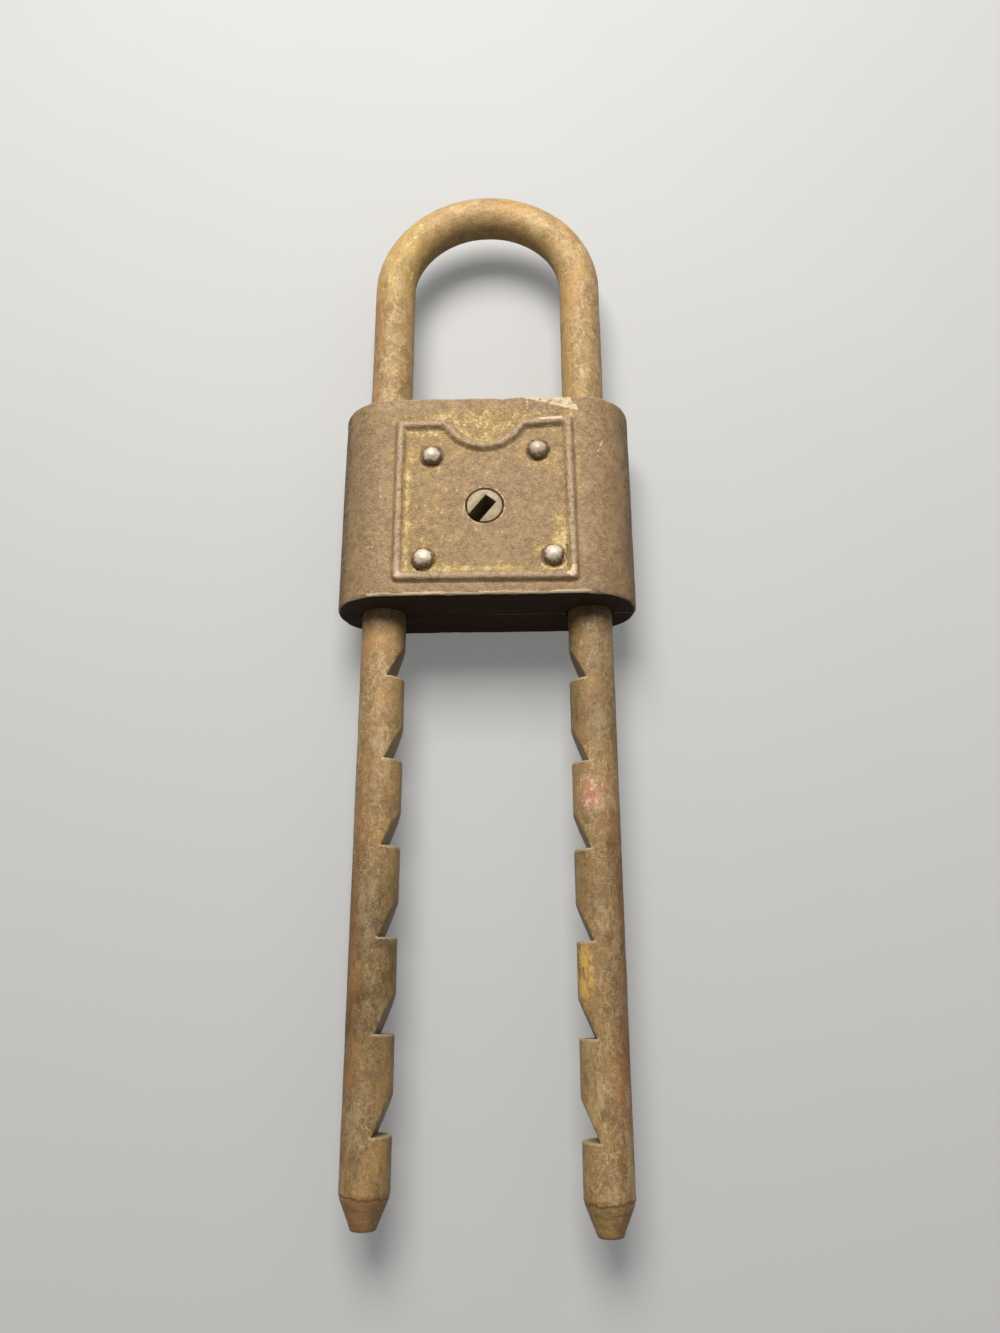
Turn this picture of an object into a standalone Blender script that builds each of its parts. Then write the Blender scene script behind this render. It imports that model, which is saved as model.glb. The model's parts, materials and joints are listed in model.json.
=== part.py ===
"""An adjustable padlock with a long notched shackle, lying on its back, with its lock work inside.

The origin is the middle of the case's flat back. +X is to the right of the key plug, +Y runs along the
shackle's legs towards the bow, and +Z comes out of the front. Lengths are in metres.
"""

import math

import bmesh
import bpy
from mathutils import Matrix, Vector

# Gaps between pieces: one for what moves, one for what is only seated.
RUNNING_GAP = 0.0003
SEAT_GAP = 0.0002

# Shackle: one bent rod with saw-tooth notches on the inner side of both legs.
ROD_DIAMETER = 0.00794
LEG_SPACING = 0.0374
LEG_ABOVE_NOTCHES = 0.0387
NOTCH_COUNT = 9
NOTCH_AT_BOLTS = 1
NOTCH_PITCH = 0.01479
NOTCH_DEPTH = 0.00272
NOTCH_RAMP = 0.006
TIP_BELOW_NOTCHES = 0.0132
TIP_TAPER = 0.0048
TIP_DIAMETER = 0.0039
RIGHT_LEG_EXTRA = 0.0008

# Case: two castings that meet in the plane of the legs.
CASE_WIDTH = 0.0541
CASE_HEIGHT = 0.0396
CASE_THICKNESS = 0.0194
CASE_EDGE_ROUNDING = 0.0006
FRONT_WALL = 0.0022
BACK_WALL = 0.002
END_WALL = 0.0032
BORE_WALL = 0.0016
CHAMBER_CORNER = 0.0015

# Raised bead round the front panel, with a dip in the middle of its top side. Its right end sags a little.
PANEL_LEFT = -CASE_WIDTH / 2 + 0.0117
PANEL_RIGHT = CASE_WIDTH / 2 - 0.01145
PANEL_TOP = CASE_HEIGHT / 2 - 0.0057
PANEL_BOTTOM = -CASE_HEIGHT / 2 + 0.0037
PANEL_SAG = 0.0003
BEAD_WIDTH = 0.002
BEAD_HEIGHT = 0.0008
DIP_HALF_WIDTH = 0.0079
DIP_DEPTH = 0.0046
DIP_SHOULDER = 0.0016

# Rivets. The lower two sit close above the bead, and none is quite where its neighbour's place suggests.
RIVET_HEAD_DIAMETER = 0.004
RIVET_HEAD_HEIGHT = 0.0014
RIVET_SHANK_DIAMETER = 0.0024
RIVET_TAIL_DIAMETER = 0.0036
RIVET_TAIL_DEPTH = 0.0007
RIVET_BOSS_DIAMETER = 0.0055
RIVET_TO_BEAD = 0.0003
LOWER_RIVET_Y = PANEL_BOTTOM + BEAD_WIDTH / 2 + RIVET_TO_BEAD + RIVET_HEAD_DIAMETER / 2
RIVET_PLACES = {
    "upper_left": (PANEL_LEFT + 0.00575, PANEL_TOP - 0.0065),
    "upper_right": (PANEL_RIGHT - 0.0059, PANEL_TOP - 0.0056),
    "lower_left": (PANEL_LEFT + 0.00455, LOWER_RIVET_Y),
    "lower_right": (PANEL_RIGHT - 0.0035, LOWER_RIVET_Y + 0.0003),
}

# Key plug and the warded barrel that it turns in.
PLUG_Y = -0.0025
PLUG_DIAMETER = 0.00635
KEYWAY_WIDTH = 0.0024
KEYWAY_REACH = 0.00185
KEY_TURN = math.radians(38)
TAIL_DIAMETER = 0.003
TAIL_FLATS = 0.0023
WARD_COUNT = 2
WARD_THICKNESS = 0.0005
WARD_BITE = 0.0007
WARD_DIAMETER = 0.0084
BARREL_WALL = 0.001
BARREL_CAP = 0.0006
BARREL_SEAT_WALL = 0.0011

# Cam plate, whose two pins draw the bolts.
CAM_THICKNESS = 0.0011
CAM_PIN_RADIUS = 0.004
CAM_PIN_DIAMETER = 0.0016
CAM_RIM = 0.001
CLIP_THICKNESS = 0.0006
CLIP_GROOVE_DIAMETER = 0.002
CLIP_DIAMETER = 0.0052
TAIL_END = 0.0006

# Bolts and the two springs between them.
BOLT_THICKNESS = 0.003
BOLT_WIDTH = 0.0049
BOLT_RISE = 0.00015
BOLT_TIP_GAP = 0.0004
NOSE_FLAT = 0.0002
YOKE_INNER = 0.0022
YOKE_EAR = 0.0016
YOKE_EDGE = 0.00145
YOKE_EAR_LENGTH = 0.0049
YOKE_STEP = 0.0012
YOKE_SIDE_GAP = 0.0004
SLOT_GAP = 0.00015
SPRING_DIAMETER = 0.0026
SPRING_WIRE = 0.0004
SPRING_TURNS = 5.5
SPRING_PEG_DIAMETER = 0.001
SPRING_PEG_LENGTH = 0.0007

# Guide plate behind the bolts, on posts of the back casting.
PLATE_THICKNESS = 0.0012
PLATE_TOP = 0.0042
PLATE_BOTTOM = -0.0092
POST_X = 0.0107
POST_DIAMETER = 0.0036
UPPER_POST_Y = 0.0021
SCREW_POST_Y = -0.0065
SCREW_DIAMETER = 0.002
SCREW_HEAD_DIAMETER = 0.0034
SCREW_HEAD_HEIGHT = 0.001
SCREW_SLOT = 0.0005
SCREW_LENGTH = 0.0042

# How finely round shapes are drawn.
ROD_SIDES = 40
BOW_STEPS = 32
BORE_SIDES = 40
SIDE_STEPS = 16
SMALL_SIDES = 20
RIVET_SIDES = 28
DOME_STEPS = 5
SPRING_STEPS = 11
SPRING_SIDES = 6
SHARP_ANGLE = math.radians(32)

# Levels and places that follow from the sizes above.
ROD_RADIUS = ROD_DIAMETER / 2
LEG_X = LEG_SPACING / 2
BORE_RADIUS = ROD_RADIUS + RUNNING_GAP
MIDDLE = CASE_THICKNESS / 2
CASE_END = CASE_HEIGHT / 2
CHAMBER_X = LEG_X - BORE_RADIUS - BORE_WALL
CHAMBER_Y = CASE_END - END_WALL
CEILING = CASE_THICKNESS - FRONT_WALL
PLUG_RADIUS = PLUG_DIAMETER / 2
TAIL_RADIUS = TAIL_DIAMETER / 2
BOLT_THROW = 2 * CAM_PIN_RADIUS * math.sin(KEY_TURN / 2)
BOLT_TOP = MIDDLE + BOLT_THICKNESS / 2
BOLT_UNDER = MIDDLE - BOLT_THICKNESS / 2
CAM_UNDER = BOLT_TOP + RUNNING_GAP
CAM_TOP = CAM_UNDER + CAM_THICKNESS
CAP_UNDER = CAM_TOP + RUNNING_GAP
BARREL_UNDER = CAP_UNDER + BARREL_CAP + SEAT_GAP
BARREL_TOP = CEILING - SEAT_GAP
BARREL_INNER = WARD_DIAMETER / 2 + SEAT_GAP
BARREL_OUTER = BARREL_INNER + BARREL_WALL
BARREL_SEAT = BARREL_OUTER + SEAT_GAP
PLATE_FRONT = BOLT_UNDER - RUNNING_GAP
PLATE_BACK = PLATE_FRONT - PLATE_THICKNESS
CLIP_TOP = PLATE_BACK - RUNNING_GAP
CLIP_UNDER = CLIP_TOP - CLIP_THICKNESS
NOTCH_SHOULDER_GAP = RUNNING_GAP
BOLT_LOW_Y = PLUG_Y + BOLT_RISE
BOLT_TIP_X = LEG_X - ROD_RADIUS - BOLT_TIP_GAP
SIDE_DROPS = {-1: 0.0, 1: RIGHT_LEG_EXTRA}
FULL_TURN = 2 * math.pi


def clear_scene():
    for obj in list(bpy.data.objects):
        bpy.data.objects.remove(obj)


def material(name, colour, roughness, metallic):
    made = bpy.data.materials.new(name)
    made.use_nodes = True
    shader = made.node_tree.nodes["Principled BSDF"]
    shader.inputs["Base Color"].default_value = (*colour, 1)
    shader.inputs["Roughness"].default_value = roughness
    shader.inputs["Metallic"].default_value = metallic
    return made


def add_object(name, bm, finish=None, at=(0, 0, 0), parent=None):
    """Makes a smooth-shaded object from a bmesh, with its origin at a place given in the mesh's frame."""
    bmesh.ops.recalc_face_normals(bm, faces=bm.faces)
    bm.transform(Matrix.Translation(-Vector(at)))
    mesh = bpy.data.meshes.new(name)
    bm.to_mesh(mesh)
    bm.free()
    mesh.shade_smooth()
    mesh.set_sharp_from_angle(angle=SHARP_ANGLE)
    obj = bpy.data.objects.new(name, mesh)
    bpy.context.scene.collection.objects.link(obj)
    obj.location = at
    obj.parent = parent
    if finish is not None:
        mesh.materials.append(finish)
    return obj


def add_helper(name, bm, parent=None):
    """A cutter, or a lump that a Boolean joins on. It isn't a piece of the padlock itself."""
    obj = add_object(name, bm, parent=parent)
    obj.hide_render = True
    obj.display_type = "WIRE"
    return obj


def boolean(obj, helper, operation):
    modifier = obj.modifiers.new(helper.name, "BOOLEAN")
    modifier.operation = operation
    modifier.solver = "EXACT"
    modifier.object = helper


def merged(parts):
    """One bmesh that holds several, as separate closed bodies."""
    whole = bmesh.new()
    for part in parts:
        mesh = bpy.data.meshes.new("part")
        part.to_mesh(mesh)
        part.free()
        whole.from_mesh(mesh)
        bpy.data.meshes.remove(mesh)
    return whole


def prism(outline, low, high):
    """A flat outline in X and Y, raised from one level of Z to another."""
    bm = bmesh.new()
    face = bm.faces.new([bm.verts.new((x, y, low)) for x, y in outline])
    raised = bmesh.ops.extrude_face_region(bm, geom=[face])["geom"]
    upper = [v for v in raised if isinstance(v, bmesh.types.BMVert)]
    bmesh.ops.translate(bm, verts=upper, vec=(0, 0, high - low))
    bmesh.ops.recalc_face_normals(bm, faces=bm.faces)
    return bm


def loft(rings):
    """A closed solid through a row of rings of equally many points, with a flat face at both ends."""
    bm = bmesh.new()
    loops = [[bm.verts.new(point) for point in points] for points in rings]
    for near, far in zip(loops, loops[1:]):
        for i in range(len(near)):
            j = (i + 1) % len(near)
            bm.faces.new((near[i], near[j], far[j], far[i]))
    bm.faces.new(loops[0])
    bm.faces.new(loops[-1])
    bmesh.ops.recalc_face_normals(bm, faces=bm.faces)
    return bm


def box(x0, x1, y0, y1, z0, z1):
    return prism([(x0, y0), (x1, y0), (x1, y1), (x0, y1)], z0, z1)


def turned(profile, centre=(0, 0), sides=SMALL_SIDES):
    """A solid turned about an upright axis. The profile is (radius, level), from the axis to the axis."""
    bm = bmesh.new()
    rings = []
    for radius, level in profile:
        if radius == 0:
            rings.append([bm.verts.new((*centre, level))])
            continue
        circle = [(centre[0] + radius * math.cos(FULL_TURN * i / sides),
                   centre[1] + radius * math.sin(FULL_TURN * i / sides)) for i in range(sides)]
        rings.append([bm.verts.new((x, y, level)) for x, y in circle])
    for near, far in zip(rings, rings[1:]):
        for i in range(sides):
            j = (i + 1) % sides
            corners = [near[i % len(near)], near[j % len(near)], far[j % len(far)], far[i % len(far)]]
            bm.faces.new(list(dict.fromkeys(corners)))
    bmesh.ops.recalc_face_normals(bm, faces=bm.faces)
    return bm


def post(radius, low, high, centre, sides=SMALL_SIDES):
    return turned([(0, low), (radius, low), (radius, high), (0, high)], centre, sides)


def ring(inner, outer, low, high, centre, sides=BORE_SIDES):
    """A tube about an upright axis."""
    return turned([(inner, low), (outer, low), (outer, high), (inner, high), (inner, low)], centre, sides)


def lying_post(radius, x0, x1, y, z, sides=SMALL_SIDES):
    """A round bar along X."""
    bm = post(radius, x0, x1, (0, 0), sides)
    bm.transform(Matrix.Translation((0, y, z)) @ Matrix.Rotation(math.pi / 2, 4, "Y"))
    return bm


def arc(centre, radius, start, end, steps):
    """Points on an arc between two angles, both ends included."""
    angles = [start + (end - start) * i / steps for i in range(steps + 1)]
    return [(centre[0] + radius * math.cos(a), centre[1] + radius * math.sin(a)) for a in angles]


def leg_shoulder(side, index):
    """The level in Y of one notch's shoulder, which faces the bow and stops the bolt."""
    at_bolt = BOLT_LOW_Y - SIDE_DROPS[side] - NOTCH_SHOULDER_GAP
    return at_bolt - (index - NOTCH_AT_BOLTS) * NOTCH_PITCH


def leg_tip(side):
    return leg_shoulder(side, NOTCH_COUNT - 1) - TIP_BELOW_NOTCHES


def rod_rings():
    """The shackle's sections from the left tip over the bow to the right tip: point, direction, radius."""
    bow_y = leg_shoulder(-1, 0) + LEG_ABOVE_NOTCHES
    up, down = Vector((0, 1, 0)), Vector((0, -1, 0))
    tip_radius = TIP_DIAMETER / 2
    rings = [
        (Vector((-LEG_X, leg_tip(-1), 0)), up, tip_radius),
        (Vector((-LEG_X, leg_tip(-1) + TIP_TAPER, 0)), up, ROD_RADIUS),
    ]
    for i in range(BOW_STEPS + 1):
        angle = math.pi * (1 - i / BOW_STEPS)
        point = Vector((LEG_X * math.cos(angle), bow_y + LEG_X * math.sin(angle), 0))
        rings.append((point, Vector((math.sin(angle), -math.cos(angle), 0)), ROD_RADIUS))
    rings.append((Vector((LEG_X, leg_tip(1) + TIP_TAPER, 0)), down, ROD_RADIUS))
    rings.append((Vector((LEG_X, leg_tip(1), 0)), down, tip_radius))
    return rings


def rod():
    """The bent rod before its notches are cut, with its axis in the plane Z = 0."""
    rings = []
    out = Vector((0, 0, 1))
    angles = [FULL_TURN * (i + 0.5) / ROD_SIDES for i in range(ROD_SIDES)]
    for point, direction, radius in rod_rings():
        across = direction.cross(out)
        rings.append([point + radius * (math.cos(a) * across + math.sin(a) * out) for a in angles])
    return loft(rings)


def notch_cutters():
    """One wedge for each notch: a square shoulder below and a long ramp above it, right across the rod."""
    wedges = []
    deep_x = LEG_X - ROD_RADIUS + NOTCH_DEPTH
    clear_x = LEG_X - ROD_RADIUS - NOTCH_DEPTH / 2
    clear_rise = NOTCH_RAMP * (deep_x - clear_x) / NOTCH_DEPTH
    for side in (-1, 1):
        for index in range(NOTCH_COUNT):
            y = leg_shoulder(side, index)
            outline = [(side * deep_x, y), (side * clear_x, y), (side * clear_x, y + clear_rise)]
            wedges.append(prism(outline, -ROD_DIAMETER, ROD_DIAMETER))
    return merged(wedges)


def make_shackle(finish):
    axis = bpy.data.objects.new("shackle_slide_axis", None)
    bpy.context.scene.collection.objects.link(axis)
    axis.location = (0, 0, MIDDLE)
    shackle = add_object("shackle", rod(), finish, parent=axis)
    boolean(shackle, add_helper("notch_cutters", notch_cutters(), parent=axis), "DIFFERENCE")


def case_section(y, inset):
    """The case's outline at one level of Y: flat front and back, and half-round sides."""
    flat = CASE_WIDTH / 2 - MIDDLE
    right = arc((flat, MIDDLE), MIDDLE - inset, -math.pi / 2, math.pi / 2, 2 * SIDE_STEPS)
    left = arc((-flat, MIDDLE), MIDDLE - inset, math.pi / 2, 1.5 * math.pi, 2 * SIDE_STEPS)
    return [(x, y, z) for x, z in right + left]


def case_block():
    """The closed case as one solid, with rounded edges at its two ends."""
    rounding = arc((CASE_END - CASE_EDGE_ROUNDING, 0), CASE_EDGE_ROUNDING, 0, math.pi / 2, 3)
    upper = [(y, CASE_EDGE_ROUNDING - rise) for y, rise in rounding]
    lower = [(-y, inset) for y, inset in reversed(upper)]
    return loft([case_section(y, inset) for y, inset in upper + lower])


def half_case(front):
    """The part of the case in front of the seam, or behind it."""
    bm = case_block()
    sign = 1 if front else -1
    seam = MIDDLE + sign * SEAT_GAP / 2
    everything = bm.verts[:] + bm.edges[:] + bm.faces[:]
    point, normal = (0, 0, seam), (0, 0, sign)
    cut = bmesh.ops.bisect_plane(bm, geom=everything, plane_co=point, plane_no=normal, clear_inner=True)
    rim = [e for e in cut["geom_cut"] if isinstance(e, bmesh.types.BMEdge)]
    bmesh.ops.holes_fill(bm, edges=rim, sides=0)
    return bm, seam


def chamber(low, high):
    """The hollow that holds the lock work, with rounded corners."""
    x, y, r = CHAMBER_X - CHAMBER_CORNER, CHAMBER_Y - CHAMBER_CORNER, CHAMBER_CORNER
    outline = []
    for i, (cx, cy) in enumerate([(x, y), (-x, y), (-x, -y), (x, -y)]):
        outline += arc((cx, cy), r, i * math.pi / 2, (i + 1) * math.pi / 2, 3)
    return prism(outline, low, high)


def leg_bores():
    """Both holes for the legs, right through the case along Y."""
    bores = []
    for side in (-1, 1):
        bm = post(BORE_RADIUS, -CASE_HEIGHT, CASE_HEIGHT, (0, 0), BORE_SIDES)
        turn = Matrix.Rotation(math.pi / 2, 4, "X") @ Matrix.Rotation(math.pi / BORE_SIDES, 4, "Z")
        bm.transform(Matrix.Translation((side * LEG_X, 0, MIDDLE)) @ turn)
        bores.append(bm)
    return bores


def bolt_windows():
    """The openings in the bore walls that the bolts' noses pass through."""
    windows = []
    for side in (-1, 1):
        low_y = BOLT_LOW_Y - SIDE_DROPS[side] - SEAT_GAP
        xs = sorted((side * (CHAMBER_X - BORE_WALL), side * (LEG_X - BORE_RADIUS / 2)))
        levels = (BOLT_UNDER - SEAT_GAP, BOLT_TOP + SEAT_GAP)
        windows.append(box(*xs, low_y, low_y + BOLT_WIDTH + 2 * SEAT_GAP, *levels))
    return merged(windows)


def mitred(outline, offset):
    """A closed outline moved sideways by an offset, with mitred corners. Positive moves it outwards."""
    moved = []
    for i, here in enumerate(outline):
        before = Vector(here) - Vector(outline[i - 1])
        after = Vector(outline[(i + 1) % len(outline)]) - Vector(here)
        normal_before = Vector((before.y, -before.x)).normalized()
        normal_after = Vector((after.y, -after.x)).normalized()
        middle = (normal_before + normal_after).normalized()
        moved.append(Vector(here) + middle * offset / middle.dot(normal_before))
    return moved


def dip_curve():
    """The dip in the panel's top side, from right to left: two small shoulders and a bowl between them."""
    span, drop, small = DIP_HALF_WIDTH, DIP_DEPTH, DIP_SHOULDER
    big = (span * span + drop * drop - 2 * small * drop) / (2 * drop)
    angle = math.asin(span / (big + small))
    bowl_y = PANEL_TOP - small + (big + small) * math.cos(angle)
    start, end = math.pi / 2, math.pi / 2 + angle
    right = arc((span, PANEL_TOP - small), small, start, end, 4)
    bowl = arc((0, bowl_y), big, -math.pi / 2 + angle, -math.pi / 2 - angle, 14)
    left = [(-x, y) for x, y in reversed(right)]
    return right + bowl[1:-1] + left


def panel_outline():
    """The middle line of the bead, counter-clockwise from its lower left corner."""
    low = [(PANEL_LEFT, PANEL_BOTTOM), (PANEL_RIGHT, PANEL_BOTTOM - PANEL_SAG)]
    return low + [(PANEL_RIGHT, PANEL_TOP)] + dip_curve() + [(PANEL_LEFT, PANEL_TOP)]


def bead():
    """A low rounded moulding along the panel's outline, sunk a little into the front."""
    half = [(0.16, 1.0), (0.37, 0.55), (0.5, 0.0), (0.5, -0.5)]
    section = [(-share, rise) for share, rise in reversed(half)] + half
    bm = bmesh.new()
    loops = []
    for share, rise in section:
        level = CASE_THICKNESS + rise * BEAD_HEIGHT
        loops.append([bm.verts.new((p.x, p.y, level)) for p in mitred(panel_outline(), share * BEAD_WIDTH)])
    for k, near in enumerate(loops):
        far = loops[(k + 1) % len(loops)]
        for i in range(len(near)):
            j = (i + 1) % len(near)
            bm.faces.new((near[i], near[j], far[j], far[i]))
    bmesh.ops.recalc_face_normals(bm, faces=bm.faces)
    return bm


def rivet_bosses(low, high):
    return [post(RIVET_BOSS_DIAMETER / 2, low, high, place) for place in RIVET_PLACES.values()]


def rivet_hole(place):
    """A through hole for one rivet, with a countersink in the back for its peened tail."""
    shank = RIVET_SHANK_DIAMETER / 2 + SEAT_GAP
    tail = RIVET_TAIL_DIAMETER / 2 + SEAT_GAP
    profile = [(0, -BACK_WALL), (tail, -BACK_WALL), (tail, 0), (shank, RIVET_TAIL_DEPTH + SEAT_GAP)]
    profile += [(shank, 2 * CASE_THICKNESS), (0, 2 * CASE_THICKNESS)]
    return turned(profile, place)


def make_front_case(finish):
    bm, seam = half_case(front=True)
    case = add_object("front_case", bm, finish)
    boolean(case, add_helper("front_chamber", chamber(0, CEILING)), "DIFFERENCE")
    lumps = rivet_bosses(seam, CEILING + FRONT_WALL / 2)
    seat = post(BARREL_SEAT + BARREL_SEAT_WALL, CAP_UNDER, CEILING + FRONT_WALL / 2, (0, PLUG_Y), BORE_SIDES)
    boolean(case, add_helper("front_bosses", merged(lumps + [seat])), "UNION")
    plug_hole = PLUG_RADIUS + RUNNING_GAP
    stepped = [(0, 0), (BARREL_SEAT, 0), (BARREL_SEAT, CEILING), (plug_hole, CEILING)]
    stepped += [(plug_hole, 2 * CASE_THICKNESS), (0, 2 * CASE_THICKNESS)]
    holes = [turned(stepped, (0, PLUG_Y), BORE_SIDES)] + [rivet_hole(p) for p in RIVET_PLACES.values()]
    boolean(case, add_helper("front_holes", merged(holes + leg_bores())), "DIFFERENCE")
    boolean(case, add_helper("front_windows", bolt_windows()), "DIFFERENCE")
    boolean(case, add_helper("bead", bead()), "UNION")


def post_places():
    """Where the back casting's posts carry the guide plate: two plain ones above, two with screws below."""
    plain = [(side * POST_X, UPPER_POST_Y) for side in (-1, 1)]
    return plain, [(side * POST_X, SCREW_POST_Y) for side in (-1, 1)]


def make_back_case(finish):
    bm, seam = half_case(front=False)
    case = add_object("back_case", bm, finish)
    boolean(case, add_helper("back_chamber", chamber(BACK_WALL, CASE_THICKNESS)), "DIFFERENCE")
    plain, screwed = post_places()
    lumps = rivet_bosses(BACK_WALL / 2, seam)
    for place in plain + screwed:
        lumps.append(post(POST_DIAMETER / 2, BACK_WALL / 2, PLATE_BACK - SEAT_GAP, place))
    boolean(case, add_helper("back_bosses", merged(lumps)), "UNION")
    holes = [rivet_hole(place) for place in RIVET_PLACES.values()]
    screw_bottom = PLATE_FRONT - SCREW_LENGTH - SEAT_GAP
    holes += [post(SCREW_DIAMETER / 2 + SEAT_GAP, screw_bottom, MIDDLE, place) for place in screwed]
    boolean(case, add_helper("back_holes", merged(holes + leg_bores())), "DIFFERENCE")
    boolean(case, add_helper("back_windows", bolt_windows()), "DIFFERENCE")


def make_rivet(name, place, finish):
    """A round-headed rivet right through the case, peened flush into the back."""
    under_head = CASE_THICKNESS + SEAT_GAP / 2
    head, shank = RIVET_HEAD_DIAMETER / 2, RIVET_SHANK_DIAMETER / 2
    tail_face = SEAT_GAP
    profile = [(0, tail_face), (RIVET_TAIL_DIAMETER / 2, tail_face), (shank, RIVET_TAIL_DEPTH + SEAT_GAP)]
    profile += [(shank, under_head)]
    for i in range(DOME_STEPS):
        angle = math.pi / 2 * i / DOME_STEPS
        profile.append((head * math.cos(angle), under_head + RIVET_HEAD_HEIGHT * math.sin(angle)))
    profile.append((0, under_head + RIVET_HEAD_HEIGHT))
    add_object(name, turned(profile, place, RIVET_SIDES), finish, at=(*place, 0))


def horseshoe(outer, inner, low, high, steps=12):
    """A flat washer with one open side, towards -Y, wide enough to slip over a groove."""
    corner = -math.acos(inner / outer)
    outline = arc((0, 0), outer, corner, math.pi - corner, 2 * steps)
    outline += arc((0, 0), inner, math.pi, 0, steps)
    return prism(outline, low, high)


def ward_levels():
    """The middle level of each ward plate, from the front."""
    room = BARREL_TOP - BARREL_UNDER
    return [BARREL_TOP - room * (i + 0.5) / WARD_COUNT for i in range(WARD_COUNT)]


def make_barrel(finish, ward_finish):
    at = (0, PLUG_Y, 0)
    sleeve = ring(BARREL_INNER, BARREL_OUTER, BARREL_UNDER, BARREL_TOP, (0, PLUG_Y))
    add_object("plug_barrel", sleeve, finish, at=at)
    cap = ring(TAIL_RADIUS + RUNNING_GAP, BARREL_OUTER, CAP_UNDER, CAP_UNDER + BARREL_CAP, (0, PLUG_Y))
    add_object("barrel_cap", cap, finish, at=at)
    inner = PLUG_RADIUS - WARD_BITE + SEAT_GAP / 2
    for i, level in enumerate(ward_levels()):
        plate = horseshoe(WARD_DIAMETER / 2, inner, level - WARD_THICKNESS / 2, level + WARD_THICKNESS / 2)
        ward = add_object(f"ward_plate_{i + 1}", plate, ward_finish)
        ward.location = at


def plug_profile():
    """The key plug from its face to its tail's end, with the grooves for the wards and the clip."""
    groove = PLUG_RADIUS - WARD_BITE - SEAT_GAP / 2
    half = WARD_THICKNESS / 2 + SEAT_GAP
    profile = [(0, CASE_THICKNESS - SEAT_GAP), (PLUG_RADIUS, CASE_THICKNESS - SEAT_GAP)]
    for level in ward_levels():
        profile += [(PLUG_RADIUS, level + half), (groove, level + half)]
        profile += [(groove, level - half), (PLUG_RADIUS, level - half)]
    plug_rear = CAP_UNDER + BARREL_CAP + SEAT_GAP
    profile += [(PLUG_RADIUS, plug_rear), (TAIL_RADIUS, plug_rear)]
    clip_groove = CLIP_GROOVE_DIAMETER / 2
    profile += [(TAIL_RADIUS, CLIP_TOP + SEAT_GAP), (clip_groove, CLIP_TOP + SEAT_GAP)]
    profile += [(clip_groove, CLIP_UNDER - SEAT_GAP), (TAIL_RADIUS, CLIP_UNDER - SEAT_GAP)]
    end = CLIP_UNDER - SEAT_GAP - TAIL_END
    return profile + [(TAIL_RADIUS, end), (0, end)], plug_rear


def tail_flats(half_width, low, high):
    """The two cutters that leave flats on the plug's tail, so that the cam plate turns with it."""
    wide = PLUG_DIAMETER
    return [box(*sorted((side * half_width, side * wide)), -wide, wide, low, high) for side in (-1, 1)]


def make_key_plug(turn_axis, finish):
    """The plug, built with its keyway upright. The open end of the keyway points down."""
    profile, plug_rear = plug_profile()
    plug = add_object("key_plug", turned(profile, sides=BORE_SIDES), finish, parent=turn_axis)
    half = KEYWAY_WIDTH / 2
    keyway = box(-half, half, -PLUG_DIAMETER, KEYWAY_REACH, plug_rear + SEAT_GAP, 2 * CASE_THICKNESS)
    boolean(plug, add_helper("keyway", keyway, parent=turn_axis), "DIFFERENCE")
    flats = tail_flats(TAIL_FLATS / 2, 0, plug_rear)
    boolean(plug, add_helper("plug_flats", merged(flats), parent=turn_axis), "DIFFERENCE")


def cam_pin_place(sign):
    """One drive pin's place on the cam plate, with the plug upright."""
    angle = sign * math.pi / 2 + KEY_TURN / 2
    return (CAM_PIN_RADIUS * math.cos(angle), CAM_PIN_RADIUS * math.sin(angle))


def make_cam(turn_axis, finish, pin_finish):
    """A plate with round ends that turns with the plug, and the two pins riveted into it."""
    end = max(TAIL_RADIUS, CAM_PIN_DIAMETER / 2) + CAM_RIM
    pin_angle = math.pi / 2 + KEY_TURN / 2
    upper, lower = cam_pin_place(1), cam_pin_place(-1)
    outline = arc(upper, end, pin_angle - math.pi / 2, pin_angle + math.pi / 2, 8)
    outline += arc(lower, end, pin_angle + math.pi / 2, pin_angle + 1.5 * math.pi, 8)
    plate = add_object("cam_plate", prism(outline, CAM_UNDER, CAM_TOP), finish, parent=turn_axis)
    low, high = CAM_UNDER - CAM_THICKNESS, CAM_TOP + CAM_THICKNESS
    hole = post(TAIL_RADIUS + SEAT_GAP / 2, low, high, (0, 0))
    hole_object = add_helper("cam_hole", hole, parent=turn_axis)
    flats = tail_flats(TAIL_FLATS / 2 + SEAT_GAP / 2, low - CAM_THICKNESS, high + CAM_THICKNESS)
    boolean(hole_object, add_helper("cam_hole_flats", merged(flats), parent=turn_axis), "DIFFERENCE")
    boolean(plate, hole_object, "DIFFERENCE")
    pin_holes = [post(CAM_PIN_DIAMETER / 2 + SEAT_GAP / 2, low, high, place) for place in (upper, lower)]
    boolean(plate, add_helper("cam_pin_holes", merged(pin_holes), parent=turn_axis), "DIFFERENCE")
    for name, place in (("upper", upper), ("lower", lower)):
        pin = post(CAM_PIN_DIAMETER / 2, BOLT_UNDER, CAM_TOP, place)
        add_object(f"cam_pin_{name}", pin, pin_finish, parent=turn_axis)


def make_clip(turn_axis, finish):
    """The open ring in the tail's groove that keeps the plug from being drawn out forwards."""
    inner = CLIP_GROOVE_DIAMETER / 2 + SEAT_GAP / 2
    clip = horseshoe(CLIP_DIAMETER / 2, inner, CLIP_UNDER, CLIP_TOP, steps=9)
    add_object("cam_clip", clip, finish, parent=turn_axis)


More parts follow.
